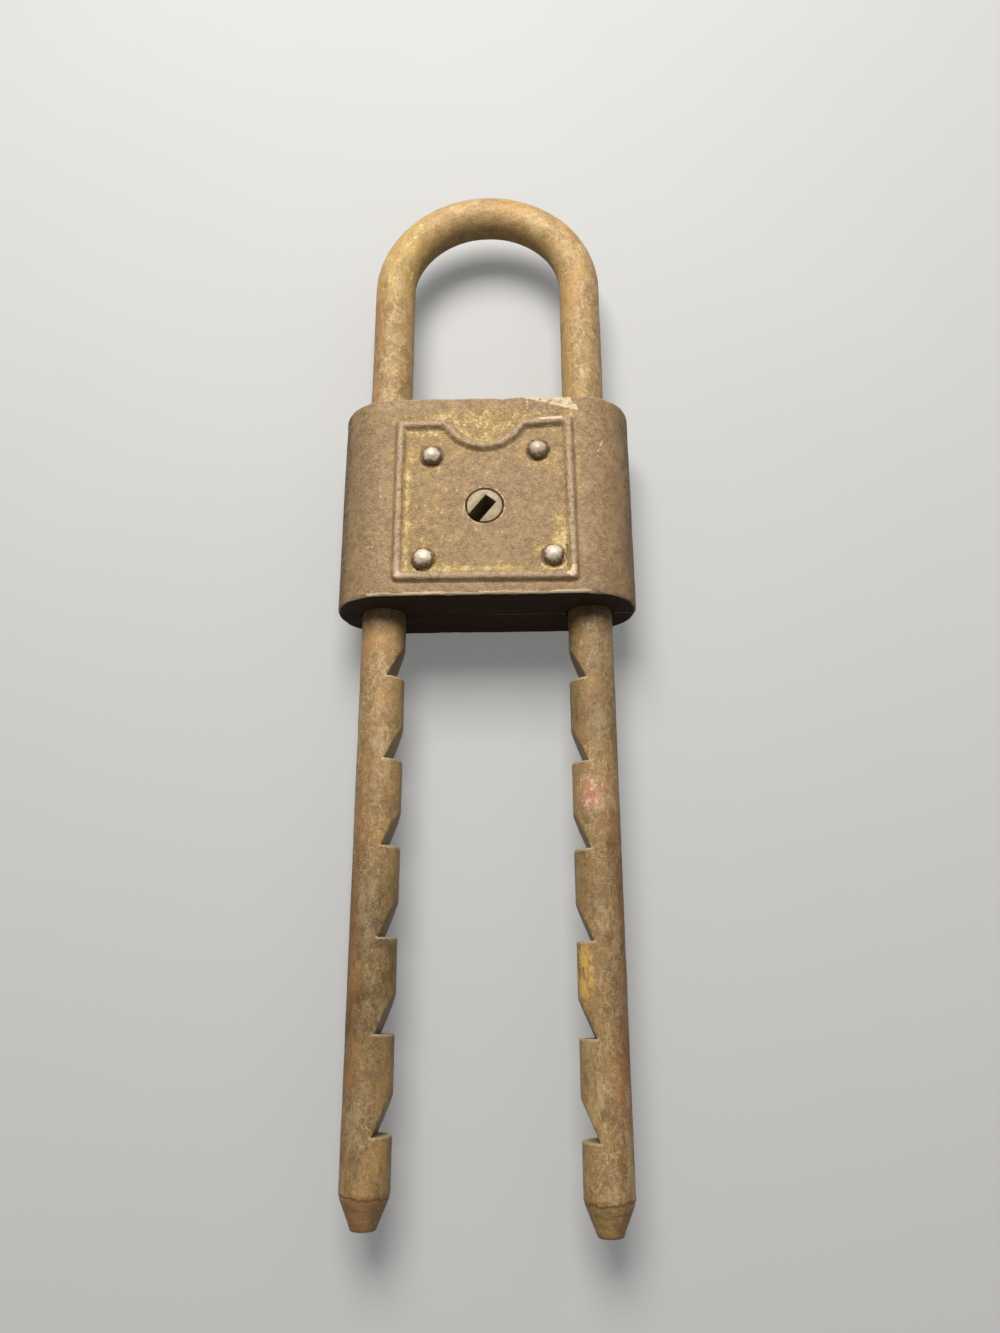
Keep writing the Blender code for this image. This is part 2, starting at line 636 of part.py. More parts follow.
def yoke_levels():
    """Distances above the plug's axis: the slot, the arm, the step, and the end of the spring ear."""
    slot_low = CAM_PIN_RADIUS * math.cos(KEY_TURN / 2) - CAM_PIN_DIAMETER / 2 - SLOT_GAP
    slot_high = CAM_PIN_RADIUS + CAM_PIN_DIAMETER / 2 + SLOT_GAP
    arm_low = TAIL_RADIUS + SEAT_GAP
    arm_high = slot_high + YOKE_EDGE
    step_low = arm_high + YOKE_SIDE_GAP
    step_high = step_low + YOKE_STEP
    ear_end = arm_high + YOKE_EAR_LENGTH
    return slot_low, slot_high, arm_low, arm_high, step_low, step_high, ear_end


def yoke_outline():
    """The left bolt's inner part: an arm over the plug's axis, a spine beside it and two spring ears."""
    _, _, arm_low, arm_high, step_low, step_high, ear_end = yoke_levels()
    ear_in, ear_out = -YOKE_INNER, -YOKE_INNER - YOKE_EAR
    arm_end = -ear_out
    spine_in = ear_out - YOKE_SIDE_GAP
    spine_out = spine_in - YOKE_EAR
    upper = [(arm_end, arm_low), (arm_end, arm_high), (ear_in, arm_high), (ear_in, ear_end)]
    upper += [(ear_out, ear_end), (ear_out, arm_high), (spine_out, arm_high)]
    lower = [(spine_out, -step_high), (ear_out, -step_high), (ear_out, -ear_end), (ear_in, -ear_end)]
    lower += [(ear_in, -step_low), (spine_in, -step_low), (spine_in, arm_low)]
    return upper + lower


def nose_outline(side):
    """The bar that reaches through the bore wall, with a square lower side and a ramped upper corner."""
    low = BOLT_LOW_Y - SIDE_DROPS[side] - PLUG_Y
    slope = NOTCH_DEPTH / NOTCH_RAMP
    neck = BOLT_TIP_X - (BOLT_WIDTH - NOSE_FLAT) * slope
    root = YOKE_INNER + YOKE_EAR + YOKE_SIDE_GAP + YOKE_EAR / 2
    right = [(root, low), (BOLT_TIP_X, low), (BOLT_TIP_X, low + NOSE_FLAT), (neck, low + BOLT_WIDTH)]
    right.append((root, low + BOLT_WIDTH))
    return [(side * x, y) for x, y in right]


def spring_height():
    """How far the springs lie above and below the plug's axis."""
    _, _, _, arm_high, _, _, ear_end = yoke_levels()
    return (arm_high + ear_end) / 2 + YOKE_SIDE_GAP / 2


def make_bolt(name, side, finish):
    """One bolt, drawn back. The right one's yoke is the left one's, turned half round the plug's axis."""
    turn = Matrix.Identity(4) if side < 0 else Matrix.Rotation(math.pi, 4, "Z")
    at = Matrix.Translation((0, PLUG_Y, MIDDLE))
    half = BOLT_THICKNESS / 2
    yoke = prism(yoke_outline(), -half, half)
    yoke.transform(at @ turn)
    bolt = add_object(name, yoke, finish, at=(0, PLUG_Y, MIDDLE))
    nose = prism(nose_outline(side), -half, half)
    nose.transform(at)
    boolean(bolt, add_helper(f"{name}_nose", nose), "UNION")
    slot_low, slot_high = yoke_levels()[:2]
    reach = BOLT_THROW / 2 + CAM_PIN_DIAMETER / 2 + SLOT_GAP
    slot = box(-reach, reach, slot_low, slot_high, -BOLT_THICKNESS, BOLT_THICKNESS)
    slot.transform(at @ turn)
    boolean(bolt, add_helper(f"{name}_slot", slot), "DIFFERENCE")
    pegs = []
    for sign in (-1, 1):
        root, tip = -YOKE_INNER - YOKE_EAR / 2, -YOKE_INNER + SPRING_PEG_LENGTH
        peg = lying_post(SPRING_PEG_DIAMETER / 2, root, tip, sign * spring_height(), 0, sides=8)
        peg.transform(at @ turn)
        pegs.append(peg)
    boolean(bolt, add_helper(f"{name}_pegs", merged(pegs)), "UNION")


def make_spring(name, y, finish):
    """A coil spring along X that pushes the two bolts apart."""
    length = 2 * (YOKE_INNER - RUNNING_GAP) - SPRING_WIRE
    mean = (SPRING_DIAMETER - SPRING_WIRE) / 2
    steps = round(SPRING_TURNS * SPRING_STEPS)
    rise = length / (SPRING_TURNS * FULL_TURN * mean)
    wire = [FULL_TURN * k / SPRING_SIDES for k in range(SPRING_SIDES)]
    rings = []
    for i in range(steps + 1):
        angle = FULL_TURN * SPRING_TURNS * i / steps
        out = Vector((0, math.cos(angle), math.sin(angle)))
        along = Vector((rise, -math.sin(angle), math.cos(angle))).normalized()
        across = along.cross(out)
        centre = out * mean + Vector((length * (i / steps - 0.5), 0, 0))
        rings.append([centre + SPRING_WIRE / 2 * (math.cos(a) * out + math.sin(a) * across) for a in wire])
    spring = add_object(name, loft(rings), finish)
    spring.location = (0, y, MIDDLE)


def make_guide_plate(finish):
    """The plate that the bolts slide on. The plug's tail turns in its middle hole."""
    x = CHAMBER_X - 2 * SEAT_GAP
    plate = add_object("guide_plate", box(-x, x, PLATE_BOTTOM, PLATE_TOP, PLATE_BACK, PLATE_FRONT), finish)
    _, screwed = post_places()
    holes = [post(TAIL_RADIUS + RUNNING_GAP, 0, CASE_THICKNESS, (0, PLUG_Y))]
    holes += [post(SCREW_DIAMETER / 2 + SEAT_GAP, 0, CASE_THICKNESS, place) for place in screwed]
    boolean(plate, add_helper("guide_plate_holes", merged(holes)), "DIFFERENCE")


def make_guide_screw(name, place, finish):
    """A cheese-headed screw, with its head on the guide plate."""
    under_head = PLATE_FRONT + SEAT_GAP / 2
    top = under_head + SCREW_HEAD_HEIGHT
    end = PLATE_FRONT - SCREW_LENGTH
    shank, head = SCREW_DIAMETER / 2, SCREW_HEAD_DIAMETER / 2
    profile = [(0, end), (shank, end), (shank, under_head), (head, under_head), (head, top), (0, top)]
    screw = add_object(name, turned(profile), finish)
    screw.location = (*place, 0)
    reach, floor = SCREW_HEAD_DIAMETER, top - SCREW_HEAD_HEIGHT / 2
    slot = box(-reach, reach, -SCREW_SLOT / 2, SCREW_SLOT / 2, floor, top + SCREW_HEAD_HEIGHT)
    slot.transform(Matrix.Translation((*place, 0)))
    boolean(screw, add_helper(f"{name}_slot", slot), "DIFFERENCE")


def main():
    clear_scene()
    casting = material("rusty_casting", (0.30, 0.205, 0.135), 0.62, 0.35)
    rod_steel = material("rusty_rod", (0.36, 0.225, 0.115), 0.66, 0.30)
    rivet_steel = material("worn_rivets", (0.42, 0.34, 0.28), 0.42, 0.70)
    plug_metal = material("plug_metal", (0.50, 0.44, 0.34), 0.40, 0.80)
    brass = material("barrel_brass", (0.60, 0.46, 0.22), 0.40, 0.90)
    plain_steel = material("plain_steel", (0.45, 0.44, 0.42), 0.40, 0.90)

    make_front_case(casting)
    make_back_case(casting)
    make_shackle(rod_steel)
    for where, place in RIVET_PLACES.items():
        make_rivet(f"rivet_{where}", place, rivet_steel)
    make_barrel(brass, plain_steel)

    turn_axis = bpy.data.objects.new("key_turn_axis", None)
    bpy.context.scene.collection.objects.link(turn_axis)
    turn_axis.location = (0, PLUG_Y, 0)
    turn_axis.rotation_euler = (0, 0, -KEY_TURN)
    make_key_plug(turn_axis, plug_metal)
    make_cam(turn_axis, plain_steel, plain_steel)
    make_clip(turn_axis, plain_steel)

    make_bolt("left_bolt", -1, brass)
    make_bolt("right_bolt", 1, brass)
    make_spring("upper_bolt_spring", PLUG_Y + spring_height(), plain_steel)
    make_spring("lower_bolt_spring", PLUG_Y - spring_height(), plain_steel)
    make_guide_plate(plain_steel)
    for name, place in zip(("left", "right"), post_places()[1]):
        make_guide_screw(f"guide_screw_{name}", place, plain_steel)


main()
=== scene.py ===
# %% [markdown]
# # A rusty adjustable padlock
#
# The real object is an old padlock whose thick cast case rides on a long bent rod. Both legs of the rod run
# right through the case, and saw-tooth notches on their inner sides let the case be fastened at any step.
# This lesson dresses the exact solid model of that padlock: it gives the castings a dense skin with dents,
# pits and a worn moulding, sweeps the rod with its notches in Geometry Nodes, and paints rust, dust and wear
# with procedural materials. The solid model is loaded first, as a fixed frame that nothing here may move.

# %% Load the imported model
import json
import math

import bmesh
import bpy
import numpy as np
from mathutils import Matrix, Vector, noise

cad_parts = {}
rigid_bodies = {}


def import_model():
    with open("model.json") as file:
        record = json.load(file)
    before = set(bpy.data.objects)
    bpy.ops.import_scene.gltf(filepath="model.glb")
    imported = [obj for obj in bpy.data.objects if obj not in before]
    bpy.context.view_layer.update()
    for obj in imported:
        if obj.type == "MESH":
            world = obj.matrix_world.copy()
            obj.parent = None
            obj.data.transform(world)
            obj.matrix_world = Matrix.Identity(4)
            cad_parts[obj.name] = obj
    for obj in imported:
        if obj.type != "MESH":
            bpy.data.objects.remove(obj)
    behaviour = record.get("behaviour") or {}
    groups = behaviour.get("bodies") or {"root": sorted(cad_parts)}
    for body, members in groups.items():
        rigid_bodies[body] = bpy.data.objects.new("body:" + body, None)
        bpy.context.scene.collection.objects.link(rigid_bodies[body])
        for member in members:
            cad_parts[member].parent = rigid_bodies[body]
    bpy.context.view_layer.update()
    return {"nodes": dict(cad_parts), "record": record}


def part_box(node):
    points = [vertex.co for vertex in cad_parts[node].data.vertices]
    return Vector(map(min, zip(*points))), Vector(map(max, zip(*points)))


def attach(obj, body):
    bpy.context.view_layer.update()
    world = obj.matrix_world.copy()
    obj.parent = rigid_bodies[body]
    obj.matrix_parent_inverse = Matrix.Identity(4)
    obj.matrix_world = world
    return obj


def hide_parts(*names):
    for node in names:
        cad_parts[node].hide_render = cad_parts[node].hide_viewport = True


for leftover in list(bpy.data.objects):
    bpy.data.objects.remove(leftover)

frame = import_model()
nodes = frame["nodes"]
print("loaded", len(nodes), "solids")

# %% [markdown]
# ## Sizes
#
# Every size is in metres, written in millimetres times MM so that it reads like a workshop drawing. The
# numbers repeat those of the solid model, because the dressed pieces have to lie where its solids are.

# %% Sizes of the rod and the case
MM = 0.001
ROD_RADIUS = 3.97 * MM
LEG_X = 18.7 * MM
MIDDLE = 9.7 * MM
NOTCH_COUNT = 9
NOTCH_PITCH = 14.79 * MM
NOTCH_DEPTH = 2.72 * MM
NOTCH_RAMP = 6.0 * MM
FIRST_SHOULDER = {-1: 12.14 * MM, 1: 11.34 * MM}
BOW_START = 50.84 * MM
TIP_BELOW_NOTCHES = 13.2 * MM
TIP_TAPER = 4.8 * MM
TIP_RADIUS = 1.95 * MM
CASE_HALF_WIDTH = 27.05 * MM
CASE_END = 19.8 * MM
EDGE_ROUNDING = 0.6 * MM
FLAT_HALF = CASE_HALF_WIDTH - MIDDLE
FACE = 2 * MIDDLE
PLUG_CENTRE = (0.0, -2.5 * MM)
PLUG_HOLE = 3.475 * MM

# %% [markdown]
# ## Camera and light
#
# The photograph was taken with a short lens from just above the table, a hand's width from the case, so the
# camera's perspective is strong. Its place and turn come from fitting the rod, the notches and the case.
#
# The light is a soft key lamp over the bow, because the bow is the brightest part, the tips are dimmer, and
# the end of the case that faces the tips is almost black. A weak fill lamp on the right and a dim world keep
# the shadows open.

# %% Place the camera
CAMERA_PLACE = Vector((7.93 * MM, -86.35 * MM, 179.57 * MM))
CAMERA_DOWN = math.radians(71.482)
CAMERA_TURN = math.radians(-5.624)
CAMERA_ROLL = math.radians(-6.135)
CAMERA_LENS = 27.033


def camera_axes():
    """The camera's right, up and backward directions, from its pitch, turn and roll."""
    level = math.cos(CAMERA_DOWN)
    forward = Vector((math.sin(CAMERA_TURN) * level, math.cos(CAMERA_TURN) * level, -math.sin(CAMERA_DOWN)))
    side = forward.cross(Vector((0, 0, 1))).normalized()
    rise = side.cross(forward)
    right = side * math.cos(CAMERA_ROLL) + rise * math.sin(CAMERA_ROLL)
    up = rise * math.cos(CAMERA_ROLL) - side * math.sin(CAMERA_ROLL)
    return right, up, -forward


def framed_camera():
    """The camera at its fitted place, with a full-frame sensor 36 mm along its longer side."""
    data = bpy.data.cameras.new("camera")
    data.lens = CAMERA_LENS
    data.sensor_width = 36
    data.sensor_fit = "AUTO"
    data.clip_start = 0.005
    made = bpy.data.objects.new("camera", data)
    bpy.context.scene.collection.objects.link(made)
    turned_to = Matrix(camera_axes()).transposed().to_4x4()
    made.matrix_world = Matrix.Translation(CAMERA_PLACE) @ turned_to
    return made


bpy.context.scene.camera = framed_camera()
bpy.context.scene.view_settings.view_transform = "Standard"
print("the camera stands at", tuple(round(v / MM, 1) for v in CAMERA_PLACE), "mm")

# %% Light it softly
WORLD_LEVEL = 0.12
WORLD_COLOUR = (0.95, 0.97, 1.0, 1.0)
WARM = (1.0, 0.97, 0.92)
COOL = (0.96, 0.97, 1.0)


def soft_lamp(name, place, target, size, watts, colour):
    """A square lamp at a place, turned towards a target."""
    data = bpy.data.lights.new(name, "AREA")
    data.shape = "SQUARE"
    data.size = size
    data.energy = watts
    data.color = colour
    lamp = bpy.data.objects.new(name, data)
    bpy.context.scene.collection.objects.link(lamp)
    aim = (Vector(target) - Vector(place)).to_track_quat("-Z", "Y")
    lamp.matrix_world = Matrix.Translation(Vector(place)) @ aim.to_matrix().to_4x4()
    return lamp


key_lamp = soft_lamp("key_lamp", (-0.04, 0.24, 0.39), (0.0, 0.02, 0.0), 0.26, 2.6, WARM)
fill_lamp = soft_lamp("fill_lamp", (0.32, 0.20, 0.36), (0.0, -0.03, 0.0), 0.30, 0.20, COOL)

world = bpy.data.worlds.new("studio")
world.use_nodes = True
background = world.node_tree.nodes["Background"]
background.inputs["Color"].default_value = WORLD_COLOUR
background.inputs["Strength"].default_value = WORLD_LEVEL
bpy.context.scene.world = world
print("lit by", key_lamp.name, "and", fill_lamp.name)

# %% [markdown]
# ## Helpers for node trees
#
# Materials and Geometry Nodes are both trees of nodes. These few helpers keep each tree short: one adds a
# node and fills its inputs, and the others wrap the steps that every finish here needs, which are noise, a
# soft threshold, a blend of two colours, and a row of tints laid over one another.


# %% Small helpers for any tree
def add(tree, kind, inputs=None, **settings):
    """Adds a node, sets its options, then fills its inputs with values or with other nodes' sockets."""
    made = tree.nodes.new(kind)
    for key, value in settings.items():
        setattr(made, key, value)
    for key, value in (inputs or {}).items():
        if isinstance(value, bpy.types.NodeSocket):
            tree.links.new(value, made.inputs[key])
        else:
            made.inputs[key].default_value = value
    return made


def maths(tree, operation, first, second=0.0, clamp=False):
    inputs = {0: first, 1: second}
    return add(tree, "ShaderNodeMath", inputs, operation=operation, use_clamp=clamp).outputs[0]


def plus(tree, first, second, clamp=False):
    return maths(tree, "ADD", first, second, clamp)


def minus(tree, first, second):
    return maths(tree, "SUBTRACT", first, second)


def times(tree, first, second):
    return maths(tree, "MULTIPLY", first, second)


def far_from(tree, value, level):
    """How far a value is from a level, either way."""
    return maths(tree, "ABSOLUTE", minus(tree, value, level))


def soft_step(tree, value, low, high):
    """0 below the low value, 1 above the high one, with a smooth rise between them."""
    kind = "ShaderNodeMapRange"
    return add(tree, kind, {0: value, 1: low, 2: high}, interpolation_type="SMOOTHSTEP").outputs[0]


def grain(tree, where, per_metre, detail=3.0, roughness=0.55, stretch=(1, 1, 1), shift=0.0):
    """Noise whose grains number per_metre along each axis, stretched by a factor on each."""
    scale = [per_metre * share for share in stretch]
    mapping = add(tree, "ShaderNodeMapping", {"Vector": where, "Scale": scale, "Location": [shift] * 3})
    inputs = {"Vector": mapping.outputs[0], "Scale": 1.0, "Detail": detail, "Roughness": roughness}
    return add(tree, "ShaderNodeTexNoise", inputs).outputs[0]


def blend(tree, share, first, second, mode="MIX"):
    """Two colours mixed by a share from 0 to 1."""
    kind = "ShaderNodeMix"
    inputs = {0: share, 6: first, 7: second}
    return add(tree, kind, inputs, data_type="RGBA", blend_type=mode).outputs[2]


def two_tone(tree, pattern, low, high, dark, light):
    """A dark colour where a pattern is below the low value, a light one where it is above the high one."""
    return blend(tree, soft_step(tree, pattern, low, high), (*dark, 1), (*light, 1))


def attribute(tree, name, output="Fac"):
    return add(tree, "ShaderNodeAttribute", attribute_name=name).outputs[output]


def new_material(name, metallic):
    """A material with one Principled BSDF, and the Object coordinates that its patterns follow."""
    made = bpy.data.materials.new(name)
    made.use_nodes = True
    tree = made.node_tree
    shader = tree.nodes["Principled BSDF"]
    shader.inputs["Metallic"].default_value = metallic
    where = add(tree, "ShaderNodeTexCoord").outputs["Object"]
    return made, tree, shader, where


def finish_shader(tree, shader, colour, roughness, height, depth):
    """Joins a colour, a roughness and a fine relief of a given depth to the shader."""
    tree.links.new(colour, shader.inputs["Base Color"])
    tree.links.new(roughness, shader.inputs["Roughness"])
    relief = add(tree, "ShaderNodeBump", {"Height": height, "Distance": depth, "Strength": 1.0})
    tree.links.new(relief.outputs[0], shader.inputs["Normal"])


def level_of(tree, value, low, high):
    """A noise value from 0 to 1 stretched to run from low to high."""
    return add(tree, "ShaderNodeMapRange", {0: value, 3: low, 4: high}).outputs[0]


def swing(tree, noise_value, width):
    """A noise value as a swing of a given width either side of 0."""
    return times(tree, minus(tree, noise_value, 0.5), width)


def tinted(tree, colour, share, strength, tint):
    """The colour with a tint laid over it, by a share from 0 to 1 times a strength."""
    return blend(tree, times(tree, share, strength), colour, (*tint, 1))


def layered(tree, colour, palette, layers):
    """The colour under a row of tints. Each layer is its share, its strength and its tint's name."""
    for share, strength, name in layers:
        colour = tinted(tree, colour, share, strength, palette[name])
    return colour


def vector_maths(tree, operation, *inputs):
    return add(tree, "ShaderNodeVectorMath", dict(enumerate(inputs)), operation=operation).outputs


def stain(tree, where, centre, reach, ragged, lengthwise=1.0):
    """1 at a place, fading to 0 at a reach from it, with a ragged edge. It can be longer along the legs."""
    apart = vector_maths(tree, "SUBTRACT", where, centre)[0]
    squeezed = vector_maths(tree, "MULTIPLY", apart, (1, 1 / lengthwise, 1))[0]
    gap = vector_maths(tree, "LENGTH", squeezed)["Value"]
    return soft_step(tree, plus(tree, gap, ragged), reach, 0.3 * reach)


print("node helpers are ready")

# %% [markdown]
# ## The finish of the castings
#
# The case is cast metal that has turned brown all over, with fine pits. Ochre dust has settled in its
# corners, hands have worn the raised moulding smooth, and dark dirt fills the seams. Painted shade darkens
# its creases, holes, low sides and the end towards the tips, and painted highlights lie on a streak of the
# moulding, the lower front edge and the seam's lip. A plain mix of noises would put the dust anywhere, so the
# skin carries four masks that are worked out from its shape further down: dust, wear, bare (bare metal and
# painted highlights) and grime (dirt and painted shade). Noise only breaks up their edges.


# %% Colours of the cast metal
CAST = {
    "dark_brown": (0.242, 0.155, 0.077),
    "brown": (0.372, 0.250, 0.132),
    "tan_cloud": (0.43, 0.285, 0.150),
    "dull_patch": (0.24, 0.140, 0.076),
    "pale_speck": (0.57, 0.415, 0.245),
    "scuff": (0.60, 0.47, 0.30),
    "dark_ochre": (0.40, 0.262, 0.088),
    "ochre": (0.58, 0.415, 0.165),
    "dark_gold": (0.64, 0.46, 0.180),
    "gold": (0.82, 0.66, 0.37),
    "rubbed": (0.50, 0.375, 0.255),
    # bare metal, and the painted highlights that are laid on as bare metal
    "bare_and_highlight": (0.80, 0.64, 0.42),
    "pit": (0.11, 0.055, 0.026),
    # dark dirt, and the painted shade of creases, holes, the low sides and the end towards the tips
    "dirt_and_shade": (0.040, 0.018, 0.010),
    # a painted highlight on the seam's lip
    "seam_lip_highlight": (0.92, 0.86, 0.80),
}
CAST_METALLIC = 0.08
CAST_SPECULAR = 0.28
CAST_RELIEF = 0.09 * MM


def cast_noises(tree, where):
    """The noises of the cast metal, by name, from broad patches to fine specks."""
    return {
        "patches": grain(tree, where, 150, 4),
        "clusters": grain(tree, where, 420, 5, 0.62, shift=5.0),
        "mottling": grain(tree, where, 1100, 6, 0.68),
        "flakes": grain(tree, where, 1900, 9, 0.76),
        "scuffs": grain(tree, where, 2600, 3, 0.6, (0.28, 1, 1)),
        "speckle": grain(tree, where, 3800, 4, 0.65, (0.6, 1, 1)),
    }


# %% Dust in the corners, and a painted highlight on the seam's lip
LIP_LEVEL = MIDDLE + 0.08 * MM


def dusted(tree, colour, noises, ragged):
    """The colour under a film of ochre dust and its golden flakes, and the film's share."""
    dust = attribute(tree, "dust")
    cloudy = plus(tree, plus(tree, dust, ragged), swing(tree, noises["clusters"], 1.0))
    film = soft_step(tree, cloudy, 0.24, 1.05)
    ochre = two_tone(tree, noises["speckle"], 0.42, 0.60, CAST["dark_ochre"], CAST["ochre"])
    colour = blend(tree, level_of(tree, film, 0, 0.75), colour, ochre)
    settled = plus(tree, times(tree, dust, 0.30), swing(tree, noises["flakes"], 1.5))
    settled = plus(tree, settled, swing(tree, noises["clusters"], 0.9))
    golden = two_tone(tree, noises["mottling"], 0.42, 0.58, CAST["dark_gold"], CAST["gold"])
    flaked = level_of(tree, soft_step(tree, settled, 0.30, 0.36), 0, 0.85)
    return blend(tree, flaked, colour, golden), film


def seam_lip_highlight(tree, where):
    """1 on the seam's lip at the end towards the tips, where a highlight is painted. It is brightest past the
    right leg.
    """
    across, lengthwise, level = add(tree, "ShaderNodeSeparateXYZ", {0: where}).outputs
    lip = soft_step(tree, far_from(tree, level, LIP_LEVEL), 0.20 * MM, 0.09 * MM)
    on_end = soft_step(tree, lengthwise, 0.6 * MM - CASE_END, 0.3 * MM - CASE_END)
    between_legs = times(tree, soft_step(tree, across, -4 * MM, 3 * MM), 0.55)
    past_leg = times(tree, soft_step(tree, across, 19 * MM, 22 * MM), 0.45)
    return times(tree, times(tree, lip, on_end), plus(tree, between_legs, past_leg))


# %% Cast metal with dust, wear and grime, painted shade and painted highlights
def casting_finish():
    made, tree, shader, where = new_material("rusty_casting", CAST_METALLIC)
    shader.inputs["Specular IOR Level"].default_value = CAST_SPECULAR
    noises = cast_noises(tree, where)
    mottling, speckle = noises["mottling"], noises["speckle"]
    colour = two_tone(tree, mottling, 0.36, 0.64, CAST["dark_brown"], CAST["brown"])
    colour = layered(tree, colour, CAST, (
        (soft_step(tree, noises["clusters"], 0.47, 0.60), 0.50, "tan_cloud"),
        (soft_step(tree, noises["patches"], 0.48, 0.66), 0.35, "dull_patch"),
        (soft_step(tree, speckle, 0.51, 0.64), 0.52, "pale_speck"),
        (soft_step(tree, noises["scuffs"], 0.66, 0.71), 0.65, "scuff"),
    ))

    ragged = plus(tree, swing(tree, mottling, 1.6), swing(tree, speckle, 1.0))
    colour, film = dusted(tree, colour, noises, ragged)
    rubbed = soft_step(tree, plus(tree, attribute(tree, "wear"), ragged), 0.28, 0.88)
    # The bare share holds bare metal and painted highlights; the grime share holds dirt and painted shade.
    bare_and_highlight_share = soft_step(tree, plus(tree, attribute(tree, "bare_and_highlight"), ragged), 0.38, 0.80)
    dirt_and_shade_share = soft_step(tree, plus(tree, attribute(tree, "grime_and_shade"), ragged), 0.35, 0.95)
    colour = layered(tree, colour, CAST, (
        (rubbed, 0.80, "rubbed"),
        (bare_and_highlight_share, 0.90, "bare_and_highlight"),
        (soft_step(tree, speckle, 0.38, 0.29), 0.42, "pit"),
        (dirt_and_shade_share, 0.92, "dirt_and_shade"),
        # Painted highlight: a bright line along the seam's lip.
        (seam_lip_highlight(tree, where), 1.0, "seam_lip_highlight"),
    ))

    gloss = minus(tree, level_of(tree, mottling, 0.46, 0.68), level_of(tree, rubbed, 0, 0.18))
    rough = plus(tree, gloss, level_of(tree, film, 0, 0.22))
    rough = plus(tree, rough, level_of(tree, dirt_and_shade_share, 0, 0.25), True)
    height = plus(tree, speckle, times(tree, mottling, 1.4))
    finish_shader(tree, shader, colour, rough, height, CAST_RELIEF)
    return made


casting = casting_finish()
print("finished", casting.name)

# %% [markdown]
# ## The finish of the rod
#
# The rod is smooth round steel under a thin film of rust. The film runs lengthwise, in tan, orange and brown
# streaks, with fine pale cracks. It is yellower on the legs' inner sides, redder on their outer sides, and
# lighter or darker from place to place along each leg. A red stain and a yellow one mark the right leg. So
# the pattern has to follow the rod round its bend. The sweep below therefore stores where each point would
# lie if the rod were straightened, and most of the noises read that instead of the place in space.


# %% Colours of the rod's rust
RUST = {
    "dark": (0.285, 0.176, 0.083),
    "light": (0.425, 0.280, 0.132),
    "orange_blotch": (0.44, 0.252, 0.09),
    "pale_blotch": (0.575, 0.425, 0.220),
    "pale_flake": (0.69, 0.505, 0.25),
    "dark_fleck": (0.286, 0.152, 0.06),
    "yellow_side": (0.46, 0.305, 0.118),
    "brown_streak": (0.374, 0.187, 0.072),
    "pale_speck": (0.594, 0.45, 0.228),
    "pale_crack": (0.726, 0.573, 0.264),
    "left_outer_side": (0.46, 0.205, 0.080),
    "right_outer_side": (0.30, 0.120, 0.060),
    "bow_ochre": (0.60, 0.42, 0.12),
    "bow_gold": (0.86, 0.66, 0.22),
    "low_fleck": (0.22, 0.105, 0.045),
    "red_stain": (0.66, 0.275, 0.165),
    "pale_stain": (0.90, 0.69, 0.55),
    "well": (0.143, 0.076, 0.034),
    "yellow_stain": (0.95, 0.58, 0.16),
    "bright_rim": (0.682, 0.538, 0.324),
    "notch_face": (0.22, 0.152, 0.062),
    "tip": (0.396, 0.205, 0.084),
    "first_ring": (0.176, 0.082, 0.036),
    "second_ring": (0.198, 0.094, 0.042),
}
ROD_METALLIC = 0.08
ROD_SPECULAR = 0.34
ROD_RELIEF = 0.07 * MM
RED_STAIN = (18.2 * MM, -53.0 * MM, 13.6 * MM)
YELLOW_STAIN = (15.6 * MM, -82.0 * MM, 12.0 * MM)


def rod_noises(tree, where, straight):
    """The rod's noises by name. Those that read the straightened place turn with the rod's bend."""
    return {
        "patches": grain(tree, where, 130, 4),
        "mottling": grain(tree, where, 1200, 6, 0.68),
        "speckle": grain(tree, where, 3600, 4, 0.65),
        "blotches": grain(tree, straight, 210, 5, 0.62, (1, 1, 0.6), 4.0),
        "crackle": grain(tree, straight, 460, 5, 0.62, (1, 1, 0.6), 7.0),
        "rings": grain(tree, straight, 700, 4, 0.6, (0.3, 0.3, 3.0), 3.0),
        "flakes": grain(tree, straight, 800, 8, 0.72, (1, 1, 0.7), 2.0),
        "flecks": grain(tree, straight, 1000, 8, 0.72, (1, 1, 0.5), 9.0),
        "streaks": grain(tree, straight, 1500, 5, 0.6, (1, 1, 0.12)),
    }


# %% Rust that covers the whole rod
def rust_film(tree, noises, inner, ragged):
    """Blotches, flakes, streaks and pale cracks. The value called inner grows towards the other leg."""
    colour = two_tone(tree, noises["mottling"], 0.38, 0.62, RUST["dark"], RUST["light"])
    yellow = soft_step(tree, plus(tree, inner, ragged), 0.4 * MM, 3.4 * MM)
    crack = soft_step(tree, maths(tree, "ABSOLUTE", swing(tree, noises["crackle"], 1.0)), 0.017, 0.004)
    crack = times(tree, crack, soft_step(tree, noises["patches"], 0.58, 0.44))
    return layered(tree, colour, RUST, (
        (soft_step(tree, noises["blotches"], 0.50, 0.58), 0.60, "orange_blotch"),
        (soft_step(tree, noises["blotches"], 0.46, 0.37), 0.50, "pale_blotch"),
        (soft_step(tree, noises["flakes"], 0.575, 0.610), 0.42, "pale_flake"),
        (soft_step(tree, noises["flecks"], 0.560, 0.600), 0.50, "dark_fleck"),
        (yellow, 0.42, "yellow_side"),
        (soft_step(tree, noises["streaks"], 0.54, 0.68), 0.60, "brown_streak"),
        (soft_step(tree, noises["speckle"], 0.53, 0.65), 0.45, "pale_speck"),
        (crack, 0.65, "pale_crack"),
    ))


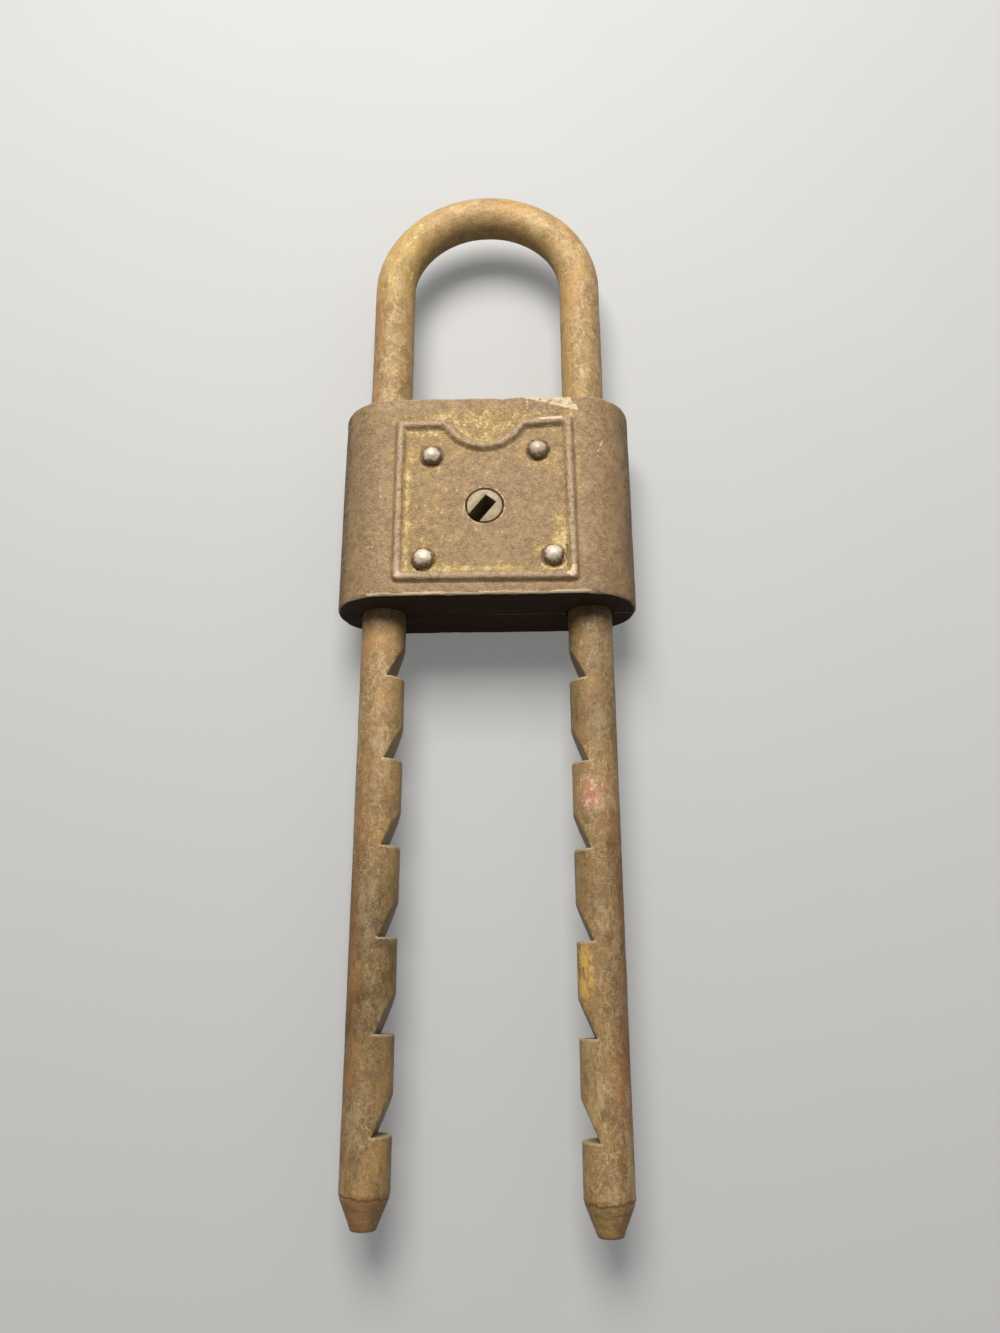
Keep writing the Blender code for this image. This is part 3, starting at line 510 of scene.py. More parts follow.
# %% Rust that differs from place to place
def rust_by_place(tree, colour, noises, where, inner, ragged):
    """Redder outer sides, the bow's golden left side, darker flecks low down, and the red stain."""
    flecks, flakes = noises["flecks"], noises["flakes"]
    across, lengthwise = add(tree, "ShaderNodeSeparateXYZ", {0: where}).outputs[:2]
    left_leg = soft_step(tree, across, -15 * MM, -17 * MM)
    right_leg = soft_step(tree, across, 15 * MM, 17 * MM)
    right_leg = times(tree, right_leg, soft_step(tree, lengthwise, -42 * MM, -62 * MM))
    bow_left = soft_step(tree, across, -9 * MM, -15 * MM)
    bow_left = times(tree, bow_left, soft_step(tree, lengthwise, 44 * MM, 52 * MM))
    low = soft_step(tree, lengthwise, -25 * MM, -55 * MM)
    outer = soft_step(tree, plus(tree, inner, ragged), -0.8 * MM, -2.8 * MM)
    reddish = times(tree, outer, soft_step(tree, noises["blotches"], 0.44, 0.56))
    wide_ragged = plus(tree, swing(tree, noises["crackle"], 14 * MM), ragged)
    red = stain(tree, where, RED_STAIN, 3.6 * MM, wide_ragged)
    return layered(tree, colour, RUST, (
        (times(tree, reddish, left_leg), 0.50, "left_outer_side"),
        (times(tree, reddish, right_leg), 0.60, "right_outer_side"),
        (times(tree, bow_left, soft_step(tree, flecks, 0.40, 0.56)), 0.50, "bow_ochre"),
        (times(tree, bow_left, soft_step(tree, flakes, 0.57, 0.62)), 0.60, "bow_gold"),
        (times(tree, low, soft_step(tree, flecks, 0.53, 0.60)), 0.30, "low_fleck"),
        (times(tree, red, soft_step(tree, flecks, 0.40, 0.50)), 0.88, "red_stain"),
        (times(tree, red, soft_step(tree, flakes, 0.51, 0.58)), 0.80, "pale_stain"),
        (soft_step(tree, noises["speckle"], 0.42, 0.31), 0.65, "well"),
    ))


def toned(tree, colour, noises):
    """The colour made lighter or darker by the tone that the sweep stores along the rod."""
    tone = plus(tree, attribute(tree, "tone"), swing(tree, noises["patches"], 0.75))
    tone = plus(tree, tone, swing(tree, noises["crackle"], 0.9))
    return blend(tree, 1.0, colour, tone, "MULTIPLY")


# %% Notches and tips
def notch_marks(tree, colour, noises, where, inner, ragged):
    """The yellow stain, the bright rim of each notch's shoulder, and the notches' darker faces."""
    yellow = stain(tree, where, YELLOW_STAIN, 3.0 * MM, ragged, 2.4)
    on_rim = soft_step(tree, inner, 0.7 * MM, 1.3 * MM)
    rim = plus(tree, attribute(tree, "rim"), swing(tree, noises["mottling"], 1.6))
    return layered(tree, colour, RUST, (
        (times(tree, yellow, soft_step(tree, noises["flecks"], 0.42, 0.52)), 0.85, "yellow_stain"),
        (times(tree, soft_step(tree, rim, 0.35, 0.85), on_rim), 0.70, "bright_rim"),
        (soft_step(tree, attribute(tree, "cut"), 0.05 * MM, 1.6 * MM), 0.60, "notch_face"),
    ))


def tip_marks(tree, colour, noises, inner):
    """Orange tapered tips, with a dark ring where the taper starts and a fainter one below it."""
    level = plus(tree, attribute(tree, "from_tip"), swing(tree, noises["crackle"], 2.2 * MM))
    level = plus(tree, level, times(tree, inner, 0.08))
    taper = soft_step(tree, level, TIP_TAPER + 0.2 * MM, TIP_TAPER - 0.6 * MM)
    first = far_from(tree, level, TIP_TAPER)
    second = far_from(tree, level, TIP_TAPER - 1.5 * MM)
    return layered(tree, colour, RUST, (
        (times(tree, taper, soft_step(tree, noises["rings"], 0.46, 0.60)), 0.75, "tip"),
        (soft_step(tree, first, 0.34 * MM, 0.05 * MM), 0.75, "first_ring"),
        (soft_step(tree, second, 0.24 * MM, 0.04 * MM), 0.40, "second_ring"),
    ))


def rod_finish():
    made, tree, shader, where = new_material("rusty_rod", ROD_METALLIC)
    shader.inputs["Specular IOR Level"].default_value = ROD_SPECULAR
    straight = attribute(tree, "straight", "Vector")
    inner = add(tree, "ShaderNodeSeparateXYZ", {0: straight}).outputs[0]
    noises = rod_noises(tree, where, straight)
    ragged = swing(tree, noises["mottling"], 4 * MM)
    colour = rust_film(tree, noises, inner, ragged)
    colour = rust_by_place(tree, colour, noises, where, inner, ragged)
    colour = toned(tree, colour, noises)
    colour = notch_marks(tree, colour, noises, where, inner, ragged)
    colour = tip_marks(tree, colour, noises, inner)
    rough = level_of(tree, noises["mottling"], 0.42, 0.66)
    height = plus(tree, noises["speckle"], noises["mottling"])
    height = plus(tree, height, times(tree, noises["streaks"], 0.8))
    finish_shader(tree, shader, colour, rough, height, ROD_RELIEF)
    return made


rod_steel = rod_finish()
print("finished", rod_steel.name)

# %% [markdown]
# ## The smaller finishes
#
# The rivets were hammered over, and years of rubbing kept their crowns bright, so their colour goes from
# brown at the rim to a pale crown with height; the pale crown is also a painted highlight. One of the four is
# duller, so each rivet carries a shine of its own. The plug's face is a scuffed pale metal, and its keyway
# carries painted shade inside. What is sealed in the case never saw rain, so the brass and steel in there
# stay plain, only dulled and a little uneven.


# %% Rivets, plug and lock works
SMALL = {
    "rivet_rim": (0.21, 0.135, 0.073),
    # the rubbed crown with its painted highlight
    "rivet_crown_and_highlight": (0.88, 0.76, 0.60),
    "rivet_pit": (0.30, 0.21, 0.13),
    "plug_dark": (0.295, 0.232, 0.135),
    "plug_light": (0.40, 0.325, 0.205),
    "plug_pit": (0.22, 0.16, 0.09),
    # painted shade inside the keyway
    "keyway": (0.20, 0.15, 0.07),
}


def rivet_finish():
    made, tree, shader, where = new_material("worn_rivets", 0.15)
    height = add(tree, "ShaderNodeSeparateXYZ", {0: where}).outputs[2]
    mottling = grain(tree, where, 1400, 5, 0.6)
    speckle = grain(tree, where, 4200, 3)
    uneven_height = plus(tree, height, swing(tree, mottling, 1.6 * MM))
    # The pale crown is rubbed metal and a painted highlight: it grows paler with height.
    crown = soft_step(tree, uneven_height, FACE + 0.55 * MM, FACE + 1.05 * MM)
    crown = times(tree, crown, attribute(tree, "shine"))
    colour = blend(tree, crown, (*SMALL["rivet_rim"], 1), (*SMALL["rivet_crown_and_highlight"], 1))
    colour = tinted(tree, colour, soft_step(tree, speckle, 0.44, 0.34), 0.5, SMALL["rivet_pit"])
    rough = minus(tree, level_of(tree, speckle, 0.44, 0.60), level_of(tree, crown, 0, 0.18))
    finish_shader(tree, shader, colour, rough, plus(tree, mottling, speckle), 0.07 * MM)
    return made


def plug_finish():
    made, tree, shader, where = new_material("scuffed_plug", 0.20)
    height = add(tree, "ShaderNodeSeparateXYZ", {0: where}).outputs[2]
    mottling = grain(tree, where, 900, 5)
    speckle = grain(tree, where, 4200, 3)
    colour = two_tone(tree, mottling, 0.38, 0.62, SMALL["plug_dark"], SMALL["plug_light"])
    colour = layered(tree, colour, SMALL, (
        (soft_step(tree, speckle, 0.44, 0.32), 0.5, "plug_pit"),
        # Painted shade: the keyway grows darker below the face.
        (soft_step(tree, height, FACE - 0.25 * MM, FACE - 0.65 * MM), 1.0, "keyway"),
    ))
    rough = level_of(tree, speckle, 0.44, 0.66)
    finish_shader(tree, shader, colour, rough, plus(tree, mottling, speckle), 0.04 * MM)
    return made


def works_finish(name, dull, bright, metallic):
    """A plain metal of the lock works, dulled a little unevenly."""
    made, tree, shader, where = new_material(name, metallic)
    cloudy = grain(tree, where, 420, 5)
    fine = grain(tree, where, 3000, 3, 0.6, (1, 0.2, 1))
    colour = two_tone(tree, cloudy, 0.35, 0.65, dull, bright)
    rough = level_of(tree, fine, 0.30, 0.52)
    finish_shader(tree, shader, colour, rough, fine, 0.02 * MM)
    return made


rivet_steel = rivet_finish()
plug_metal = plug_finish()
works_brass = works_finish("dull_brass", (0.42, 0.29, 0.11), (0.66, 0.50, 0.24), 0.85)
works_steel = works_finish("dull_steel", (0.30, 0.28, 0.26), (0.52, 0.51, 0.49), 0.85)
print("finished", rivet_steel.name, plug_metal.name, works_brass.name, works_steel.name)

# %% [markdown]
# ## Helpers for pieces
#
# A piece here is often made by one object that changes another, by a modifier. baked() takes the result as a
# plain mesh, so that no modifier is left on the piece. merged_copy() joins the loose triangles of a CAD solid
# into one closed skin, which is what a Boolean needs.


# %% Helpers that make, bake and hand over a piece
SHARP = math.radians(38)


def new_object(name, mesh):
    made = bpy.data.objects.new(name, mesh)
    bpy.context.scene.collection.objects.link(made)
    return made


def baked(obj, name):
    """The object's evaluated shape as a plain mesh. The object itself goes."""
    depsgraph = bpy.context.evaluated_depsgraph_get()
    mesh = bpy.data.meshes.new_from_object(obj.evaluated_get(depsgraph))
    mesh.name = name
    bpy.data.objects.remove(obj)
    return mesh


def merged_copy(node):
    """A closed copy of a CAD solid's mesh, as a bmesh."""
    bm = bmesh.new()
    bm.from_mesh(nodes[node].data)
    bmesh.ops.remove_doubles(bm, verts=bm.verts, dist=0.001 * MM)
    return bm


def mesh_of(bm, name):
    mesh = bpy.data.meshes.new(name)
    bm.to_mesh(mesh)
    bm.free()
    return mesh


def points_of(mesh):
    """A mesh's points as rows of X, Y and Z."""
    values = np.zeros(len(mesh.vertices) * 3)
    mesh.vertices.foreach_get("co", values)
    return values.reshape(-1, 3)


def hand_over(obj, material, body, slot, *replaced):
    """Gives a finished piece its material, hangs it on the body it rides on, and hides the solids that it
    stands for.
    """
    obj.data.materials.clear()
    obj.data.materials.append(material)
    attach(obj, body)
    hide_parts(*replaced)
    triangles = sum(len(face.vertices) - 2 for face in obj.data.polygons)
    print(obj.name, "has", triangles, "triangles")


# %% [markdown]
# ## The moulding on the front
#
# A raised bead frames the front panel. It runs straight on three sides, and dips in a bowl in the middle of
# the top side, whose right end lies a little higher than its left end. Its middle line is worked out here
# once, because the bead's height, the trough outside it, the lowered panel inside it and the dust along it
# all depend on the distance to that line.

# %% The bead's middle line
PANEL_LEFT = -15.35 * MM
PANEL_RIGHT = 15.6 * MM
PANEL_TOP = 14.1 * MM
PANEL_BOTTOM = -16.1 * MM
PANEL_SAG = 0.3 * MM
CORNER_SHIFT = (-0.35 * MM, 0.42 * MM)
DIP_HALF_WIDTH = 7.9 * MM
DIP_DEPTH = 4.6 * MM
DIP_SHOULDER = 1.6 * MM


def arc(centre, radius, start, end, steps):
    turns = np.linspace(start, end, steps + 1)
    return [(centre[0] + radius * math.cos(t), centre[1] + radius * math.sin(t)) for t in turns]


def bead_line():
    """The bead's middle line as a closed row of points, counter-clockwise."""
    reach = (DIP_HALF_WIDTH**2 + DIP_DEPTH**2 - 2 * DIP_SHOULDER * DIP_DEPTH) / (2 * DIP_DEPTH)
    turn = math.asin(DIP_HALF_WIDTH / (reach + DIP_SHOULDER))
    bowl_y = PANEL_TOP - DIP_SHOULDER + (reach + DIP_SHOULDER) * math.cos(turn)
    shoulder = (DIP_HALF_WIDTH, PANEL_TOP - DIP_SHOULDER)
    right = arc(shoulder, DIP_SHOULDER, math.pi / 2, math.pi / 2 + turn, 8)
    bowl = arc((0, bowl_y), reach, -math.pi / 2 + turn, -math.pi / 2 - turn, 28)
    left = [(-x, y) for x, y in reversed(right)]
    low = [(PANEL_LEFT, PANEL_BOTTOM), (PANEL_RIGHT, PANEL_BOTTOM - PANEL_SAG)]
    corner = (PANEL_RIGHT + CORNER_SHIFT[0], PANEL_TOP + CORNER_SHIFT[1])
    return np.array(low + [corner] + right + bowl[1:-1] + left + [(PANEL_LEFT, PANEL_TOP)])


BEAD_LINE = bead_line()


def from_segment(place, start, end):
    """Distance from each point to a straight line between two places."""
    along = end - start
    share = np.clip((place - start) @ along / (along @ along), 0, 1)
    return np.linalg.norm(place - start - share[:, None] * along, axis=1)


def from_bead(x, y):
    """Distance to the bead's middle line, negative inside the panel."""
    place = np.stack([x, y], axis=1)
    nearest = np.full(len(place), 1.0)
    inside = np.zeros(len(place), bool)
    for start, end in zip(BEAD_LINE, np.roll(BEAD_LINE, -1, axis=0)):
        nearest = np.minimum(nearest, from_segment(place, start, end))
        crosses = (start[1] > y) != (end[1] > y)
        run, rise = end - start
        inside ^= crosses & (x < start[0] + (y - start[1]) / (rise or 1.0) * run)
    return np.where(inside, -nearest, nearest)


print("the bead's line has", len(BEAD_LINE), "points")

# %% [markdown]
# ## The skin of the case
#
# The case is a thick bar with half-round sides and slightly rounded ends. A dense grid in that shape can be
# dented and pitted point by point, but it has no holes. So the grid becomes the outer skin only: it is
# intersected with a copy of the CAD casting whose outer faces are first pushed outwards. What is left has the
# dented skin outside, and the casting's own bores, holes and hollow inside.

# %% Where the rivets are
RIVET_NAMES = ("upper_left", "upper_right", "lower_left", "lower_right")
RIVETS = {}
for where in RIVET_NAMES:
    low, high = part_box(f"rivet_{where}")
    RIVETS[where] = ((low.x + high.x) / 2, (low.y + high.y) / 2)
print("rivets at", {where: tuple(round(v / MM, 2) for v in place) for where, place in RIVETS.items()})

# %% A dense grid in the shape of the case
SKIN_STEP = 0.28 * MM
CAP_STEP = 0.45 * MM
CAP_LAST = 9.2 * MM


def section_points():
    """Points round the case's section: the axis point that each belongs to, and its direction."""
    flat_steps = round(2 * FLAT_HALF / SKIN_STEP)
    arc_steps = round(math.pi * MIDDLE / SKIN_STEP)
    across = np.linspace(FLAT_HALF, -FLAT_HALF, flat_steps, endpoint=False)
    turns = np.linspace(0, math.pi, arc_steps, endpoint=False)
    rows = [(x, 0.0, 1.0) for x in across]
    rows += [(-FLAT_HALF, -math.sin(t), math.cos(t)) for t in turns]
    rows += [(-x, 0.0, -1.0) for x in across]
    rows += [(FLAT_HALF, math.sin(t), -math.cos(t)) for t in turns]
    return np.array(rows)


def ring_rows():
    """Each ring's level in Y, its inset, and how far its faces have turned from the side to the end."""
    quarter = [math.pi / 2 * k / 4 for k in range(1, 5)]
    edge = CASE_END - EDGE_ROUNDING
    body = [(y, 0.0, 0.0) for y in np.linspace(0, edge, round(edge / SKIN_STEP))]
    rounded = [(edge + EDGE_ROUNDING * math.sin(t), EDGE_ROUNDING * (1 - math.cos(t)), t) for t in quarter]
    insets = np.arange(EDGE_ROUNDING + CAP_STEP, CAP_LAST, CAP_STEP)
    cap = [(CASE_END, inset, math.pi / 2) for inset in insets]
    upper = body + rounded + cap
    return [(-y, inset, -turn) for y, inset, turn in reversed(upper[1:])] + upper


SECTION = section_points()
RINGS = ring_rows()
print("the skin has", len(RINGS), "rings of", len(SECTION), "points")


# %% [markdown]
# ### Relief of the skin
#
# Each point moves along its own normal. The relief adds up what the photograph shows: the bead with a shallow
# trough outside it and a lowered panel inside it, a sunken ring round each rivet, an eased edge at the plug's
# hole, slow waves and pits from the casting, a worn scrape at the upper right, and nicks along the edges.


# %% Relief as a function of place
BEAD_HALF = 1.0 * MM
BEAD_HEIGHT = 0.66 * MM
TROUGH_DEPTH = 0.13 * MM
TROUGH_WIDTH = 0.65 * MM
TROUGH_EDGE = 0.2 * MM
FOOT_DEPTH = 0.06 * MM
PANEL_RECESS = 0.13 * MM
RIVET_RING = 2.25 * MM
RIVET_RING_DEPTH = 0.16 * MM
OUTER_RING = 3.0 * MM
OUTER_RING_DEPTH = 0.12 * MM
PLUG_EDGE = 0.16 * MM
SCRAPE = ((7.2 * MM, 19.7 * MM), (14.6 * MM, 20.0 * MM), (17.6 * MM, 16.4 * MM))


def eased(value, low, high):
    """0 to 1 as value goes from low to high, with no corner."""
    share = np.clip((value - low) / (high - low), 0, 1)
    return share * share * (3 - 2 * share)


def hump(value, centre, width):
    return np.exp(-(((value - centre) / width) ** 2))


def field(points, per_metre, shift, octaves=3):
    """Seeded noise between about -1 and 1 at each point."""
    start = Vector((shift, shift * 1.7, shift * 2.3))
    return np.array([noise.fractal(Vector(p) * per_metre + start, 0.9, 2.1, octaves) for p in points])


def from_plug_hole(x, y):
    """Distance outwards from the rim of the plug's hole."""
    return np.hypot(x - PLUG_CENTRE[0], y - PLUG_CENTRE[1]) - PLUG_HOLE


def front_relief(x, y):
    """The modelled relief of the front face, in metres above its plane."""
    gap = from_bead(x, y)
    share = np.clip(np.abs(gap) / BEAD_HALF, 0, 1)
    height = BEAD_HEIGHT * (1 - share**3.0) ** 0.80
    far_edge = BEAD_HALF + TROUGH_WIDTH
    trough = eased(gap, 0.6 * BEAD_HALF, BEAD_HALF) * (1 - eased(gap, far_edge - TROUGH_EDGE, far_edge))
    recess = eased(-gap, 0.4 * BEAD_HALF, BEAD_HALF)
    height = height - TROUGH_DEPTH * trough - PANEL_RECESS * recess
    height = height - FOOT_DEPTH * hump(np.abs(gap), BEAD_HALF + 0.1 * MM, 0.18 * MM)
    for name, (rivet_x, rivet_y) in RIVETS.items():
        reach = np.hypot(x - rivet_x, y - rivet_y)
        height = height - RIVET_RING_DEPTH * hump(reach, RIVET_RING, 0.33 * MM) * (gap < -0.5 * MM)
        if name == "lower_right":
            height = height - OUTER_RING_DEPTH * hump(reach, OUTER_RING, 0.25 * MM) * (gap < -BEAD_HALF)
    return height - PLUG_EDGE * np.exp(-np.clip(from_plug_hole(x, y), 0, 1) / PLUG_EDGE)


def scrape_share(x, y):
    """1 on the long pale scrape at the upper right of the front, 0 away from it. It is shaped like a leaf."""
    (left, top), (corner, edge), (right, bottom) = SCRAPE
    along = np.clip((x - left) / (right - left), 0, 1)
    lower = top + (bottom - top) * along**0.85
    past = np.clip((x - corner) / (right - corner), 0, 1)
    upper = np.where(x < corner, 1.0, edge + (bottom - edge) * past**1.7)
    soft = 0.16 * MM
    ends = eased(x, left - 0.2 * MM, left + 0.4 * MM)
    return eased(y - lower, -soft, soft) * (1 - eased(y - upper, -soft, soft)) * ends


# %% [markdown]
# ### Nicks and dents
#
# Small nicks sit on the long edges, and broad shallow dents lie on the round sides. Their places are drawn
# with a fixed seed, so that every run gives the same case.

# %% Draw the nicks and dents
DRAW = np.random.default_rng(41)
NICK_COUNT = 26
DENT_COUNT = 24


def edge_nicks(count):
    """Places, reach and depth of nicks on the case's long edges."""
    rows = []
    for _ in range(count):
        x = DRAW.uniform(-1.2 * FLAT_HALF, 1.2 * FLAT_HALF)
        end = CASE_END * (1 if DRAW.random() < 0.4 else -1)
        level = FACE if DRAW.random() < 0.75 else 0.0
        rows.append((x, end, level, DRAW.uniform(0.35, 1.1) * MM, DRAW.uniform(0.08, 0.24) * MM))
    return rows


def broad_dents(count):
    """Places, reach and depth of shallow dents anywhere on the sides."""
    rows = []
    for _ in range(count):
        side = 1 if DRAW.random() < 0.5 else -1
        turn = DRAW.uniform(-1.4, 1.4)
        x = side * (FLAT_HALF + MIDDLE * math.cos(turn))
        z = MIDDLE + MIDDLE * math.sin(turn)
        y = DRAW.uniform(-0.9, 0.9) * CASE_END
        rows.append((x, y, z, DRAW.uniform(1.0, 3.2) * MM, DRAW.uniform(0.04, 0.12) * MM))
    return rows


NICKS = edge_nicks(NICK_COUNT) + broad_dents(DENT_COUNT)
print("drew", len(NICKS), "nicks and dents")


# %% The skin's points before any relief
def skin_points():
    """Each point's place, its normal, and how far its face has turned from the side to the end."""
    places, normals, turns = [], [], []
    axis_x, out_x, out_z = SECTION.T
    for y, inset, turn in RINGS:
        reach = MIDDLE - inset
        level = np.full(len(SECTION), y)
        ahead = np.full(len(SECTION), math.sin(turn))
        places.append(np.stack([axis_x + out_x * reach, level, MIDDLE + out_z * reach], axis=1))
        normals.append(np.stack([out_x * math.cos(turn), ahead, out_z * math.cos(turn)], axis=1))
        turns.append(np.full(len(SECTION), abs(turn)))
    return np.concatenate(places), np.concatenate(normals), np.concatenate(turns)


# %% How far each point moves
WAVE_DEPTH = 0.05 * MM
GRAIN_DEPTH = 0.030 * MM
PIT_DEPTH = 0.12 * MM
SCRAPE_DEPTH = 0.10 * MM
EDGE_WEAR = 0.07 * MM


def skin_lift(places, turns):
    """The lift of each point along its normal. Below the seam nothing stands above the flat back."""
    x, y, z = places.T
    on_front = (z > FACE - 0.02 * MM) & (np.abs(x) < FLAT_HALF + 0.5 * MM)
    lift = np.zeros(len(places))
    lift[on_front] = front_relief(x[on_front], y[on_front])
    calm = np.ones(len(places))
    calm[on_front] = 1 - 0.7 * np.exp(-((from_bead(x[on_front], y[on_front]) / BEAD_HALF) ** 4))
    lift += field(places, 70, 3.0, 2) * WAVE_DEPTH
    lift += field(places, 420, 11.0, 3) * GRAIN_DEPTH * calm
    pits = np.clip(field(places, 900, 23.0, 2) - 0.22, 0, 1)
    lift -= pits * PIT_DEPTH * calm
    for nick_x, nick_y, nick_z, reach, depth in NICKS:
        gap2 = (x - nick_x) ** 2 + (y - nick_y) ** 2 + (z - nick_z) ** 2
        lift -= depth * np.exp(-gap2 / reach**2)
    lift -= SCRAPE_DEPTH * scrape_share(x, y) * (z > FACE - 0.8 * MM)
    edge_wave = field(np.stack([x, np.zeros(len(x)), z], axis=1), 260, 31.0, 3)
    lift -= EDGE_WEAR * np.clip(0.5 + edge_wave, 0, 1) * np.sin(2 * np.clip(turns, 0, math.pi / 2))
    lift[z < MIDDLE] = np.minimum(lift[z < MIDDLE], 0.0)
    inner_ring = (turns > 1.5) & (np.abs(z - MIDDLE) < 0.8 * MM)
    lift[inner_ring] = 0.0
    return lift


# %% Move the skin's points
def skin_mesh():
    """The closed outer skin of both castings together, with all its relief."""
    places, normals, turns = skin_points()
    places = places + normals * skin_lift(places, turns)[:, None]
    count = len(SECTION)
    faces = []
    for row in range(len(RINGS) - 1):
        for k in range(count):
            ahead = (k + 1) % count
            a, b = row * count + k, row * count + ahead
            faces.append((a, b, b + count, a + count))
    faces.append(tuple(range(count)))
    faces.append(tuple(range(len(places) - count, len(places))))
    mesh = bpy.data.meshes.new("case_skin")
    mesh.from_pydata(places.tolist(), [], faces)
    bm = bmesh.new()
    bm.from_mesh(mesh)
    bmesh.ops.recalc_face_normals(bm, faces=bm.faces)
    bm.to_mesh(mesh)
    bm.free()
    return mesh


CASE_SKIN = skin_mesh()
print("the skin has", len(CASE_SKIN.polygons), "faces")

# %% [markdown]
# ### Inside of each casting
#
# The pushed-out copy is made by moving only the points on the casting's outer faces. A point's distance from
# the line through the middle of the case says whether it is on the outside, and every outer point goes to the
# same distance, well clear of the skin. The points of the seam keep their height, so the two castings still
# meet where the solids do.


# %% Push a casting's outer faces outwards
OUTER_FROM = 9.0 * MM
OUTER_TO = 10.9 * MM
END_FROM = 19.25 * MM
END_TO = 20.8 * MM


def reach_from_middle(x, z):
    """Distance from the flat line along the case's middle, in the plane of the section."""
    return math.hypot(max(abs(x) - FLAT_HALF, 0), z - MIDDLE)


def pushed_out(node):
    bm = merged_copy(node)
    seam = min((abs(v.co.z - MIDDLE) for v in bm.verts))
    for v in bm.verts:
        x, y, z = v.co
        at_seam = abs(abs(z - MIDDLE) - seam) < 0.005 * MM
        reach = reach_from_middle(x, z)
        if reach > OUTER_FROM:
            grow = OUTER_TO / reach
            axis_x = math.copysign(min(abs(x), FLAT_HALF), x)
            v.co.x = axis_x + (x - axis_x) * grow
            if not at_seam:
                v.co.z = MIDDLE + (z - MIDDLE) * grow
        if abs(y) > END_FROM:
            v.co.y = math.copysign(END_TO, y)
    bmesh.ops.remove_doubles(bm, verts=bm.verts, dist=0.01 * MM)
    bmesh.ops.dissolve_limit(bm, angle_limit=math.radians(0.5), verts=bm.verts, edges=bm.edges)
    return mesh_of(bm, f"{node}_inside")


def dressed_casting(node):
    """The skin's share that belongs to one casting, with that casting's own holes."""
    inside = new_object(f"{node}_inside", pushed_out(node))
    skin = new_object(f"{node}_skin", CASE_SKIN.copy())
    meet = skin.modifiers.new("inside", "BOOLEAN")
    meet.operation = "INTERSECT"
    meet.solver = "EXACT"
    meet.object = inside
    mesh = baked(skin, node)
    bpy.data.objects.remove(inside)
    mesh.shade_smooth()
    mesh.set_sharp_from_angle(angle=SHARP)
    return mesh


# %% [markdown]
# ### Masks for dust, wear, bare metal with painted highlights, and grime with painted shade
#
# The masks are worked out for each point of the finished casting, from where it lies. Dust gathers in the
# dip above the bead, along the panel's inner edges and round the rivets. Wear shows on the bead's crest and
# on the case's edges. Bare metal is the scrape, two corners of the bead, the plug's rim and a few scratches,
# and the same mask lays painted highlights on a streak of the bead and along the lower front edge. Grime is
# dirt in the seam; the rest of that mask is painted shade, in the bead's foot, the rings round the rivets,
# the bores' mouths and every hole, and over the low sides and the end towards the tips.


# %% Dust
DUSTY_RIVET_SIDES = (
    ("upper_left", 3.0, 0.40), ("upper_left", 4.4, 0.30),
    ("upper_right", 3.2, 0.72), ("upper_right", 5.2, 0.70),
    ("lower_left", 1.6, 0.30), ("lower_left", 5.6, 0.35),
    ("lower_right", 1.2, 0.85), ("lower_right", 2.6, 0.70), ("lower_right", 4.4, 0.45),
)


def panel_dust(x, y, gap):
    """Dust inside the bead: thicker along its inner edges and on some sides of the rivets."""
    depth = np.clip(-gap - BEAD_HALF, 0, 1)
    left = hump(x, PANEL_LEFT + 1.4 * MM, 0.6 * MM) * eased(-y, -10.0 * MM, -4.0 * MM)
    right = hump(x, PANEL_RIGHT - 2.0 * MM, 1.2 * MM) * eased(-y, 2.0 * MM, 6.0 * MM)
    bottom = hump(y, PANEL_BOTTOM + 1.4 * MM, 0.4 * MM) * (0.25 + 0.75 * hump(x, 1.0 * MM, 6.0 * MM))
    top = hump(y, PANEL_TOP - 1.7 * MM, 0.7 * MM) * hump(x, -11.0 * MM, 2.6 * MM)
    dust = 0.30 + 0.62 * left + 0.60 * right + 0.90 * bottom + 0.55 * top
    dust += 0.26 * np.exp(-depth / (1.0 * MM)) + 0.18 * hump(x, -9.0 * MM, 5.0 * MM)
    for name, turn, amount in DUSTY_RIVET_SIDES:
        rivet_x, rivet_y = RIVETS[name]
        place_x = rivet_x + 2.7 * MM * math.cos(turn)
        place_y = rivet_y + 2.7 * MM * math.sin(turn)
        dust += amount * hump(np.hypot(x - place_x, y - place_y), 0, 1.5 * MM)
    return dust * (gap < -0.6 * BEAD_HALF)


def border_dust(x, y, gap):
    """Dust outside the bead: in the bowl of its dip, on the upper front, and along the trough's edge."""
    bowl = hump(x, -0.5 * MM, 7.2 * MM) * eased(y, 8.0 * MM, 9.0 * MM)
    bowl *= 1 - eased(y, 15.6 * MM, 18.4 * MM)
    rail = hump(gap, BEAD_HALF + TROUGH_WIDTH, 0.55 * MM)
    top_rail = rail * eased(y, 13.5 * MM, 14.5 * MM) * (0.5 + 0.5 * (x < 0))
    right_rail = rail * (x > 0) * hump(y, 4.0 * MM, 6.0 * MM)
    left_rail = rail * (x < 0) * hump(y, 8.0 * MM, 3.0 * MM)
    left_line = (x < 0) * hump(gap, BEAD_HALF + 0.55 * MM, 0.25 * MM) * (np.abs(y + MM) < 15 * MM)
    upper = eased(y, 13.0 * MM, 14.5 * MM)
    dust = 0.10 + 0.68 * bowl + 0.55 * top_rail + 0.65 * right_rail + 0.35 * left_rail
    return (dust + 0.42 * left_line + 0.16 * upper) * (gap > 0.7 * BEAD_HALF)


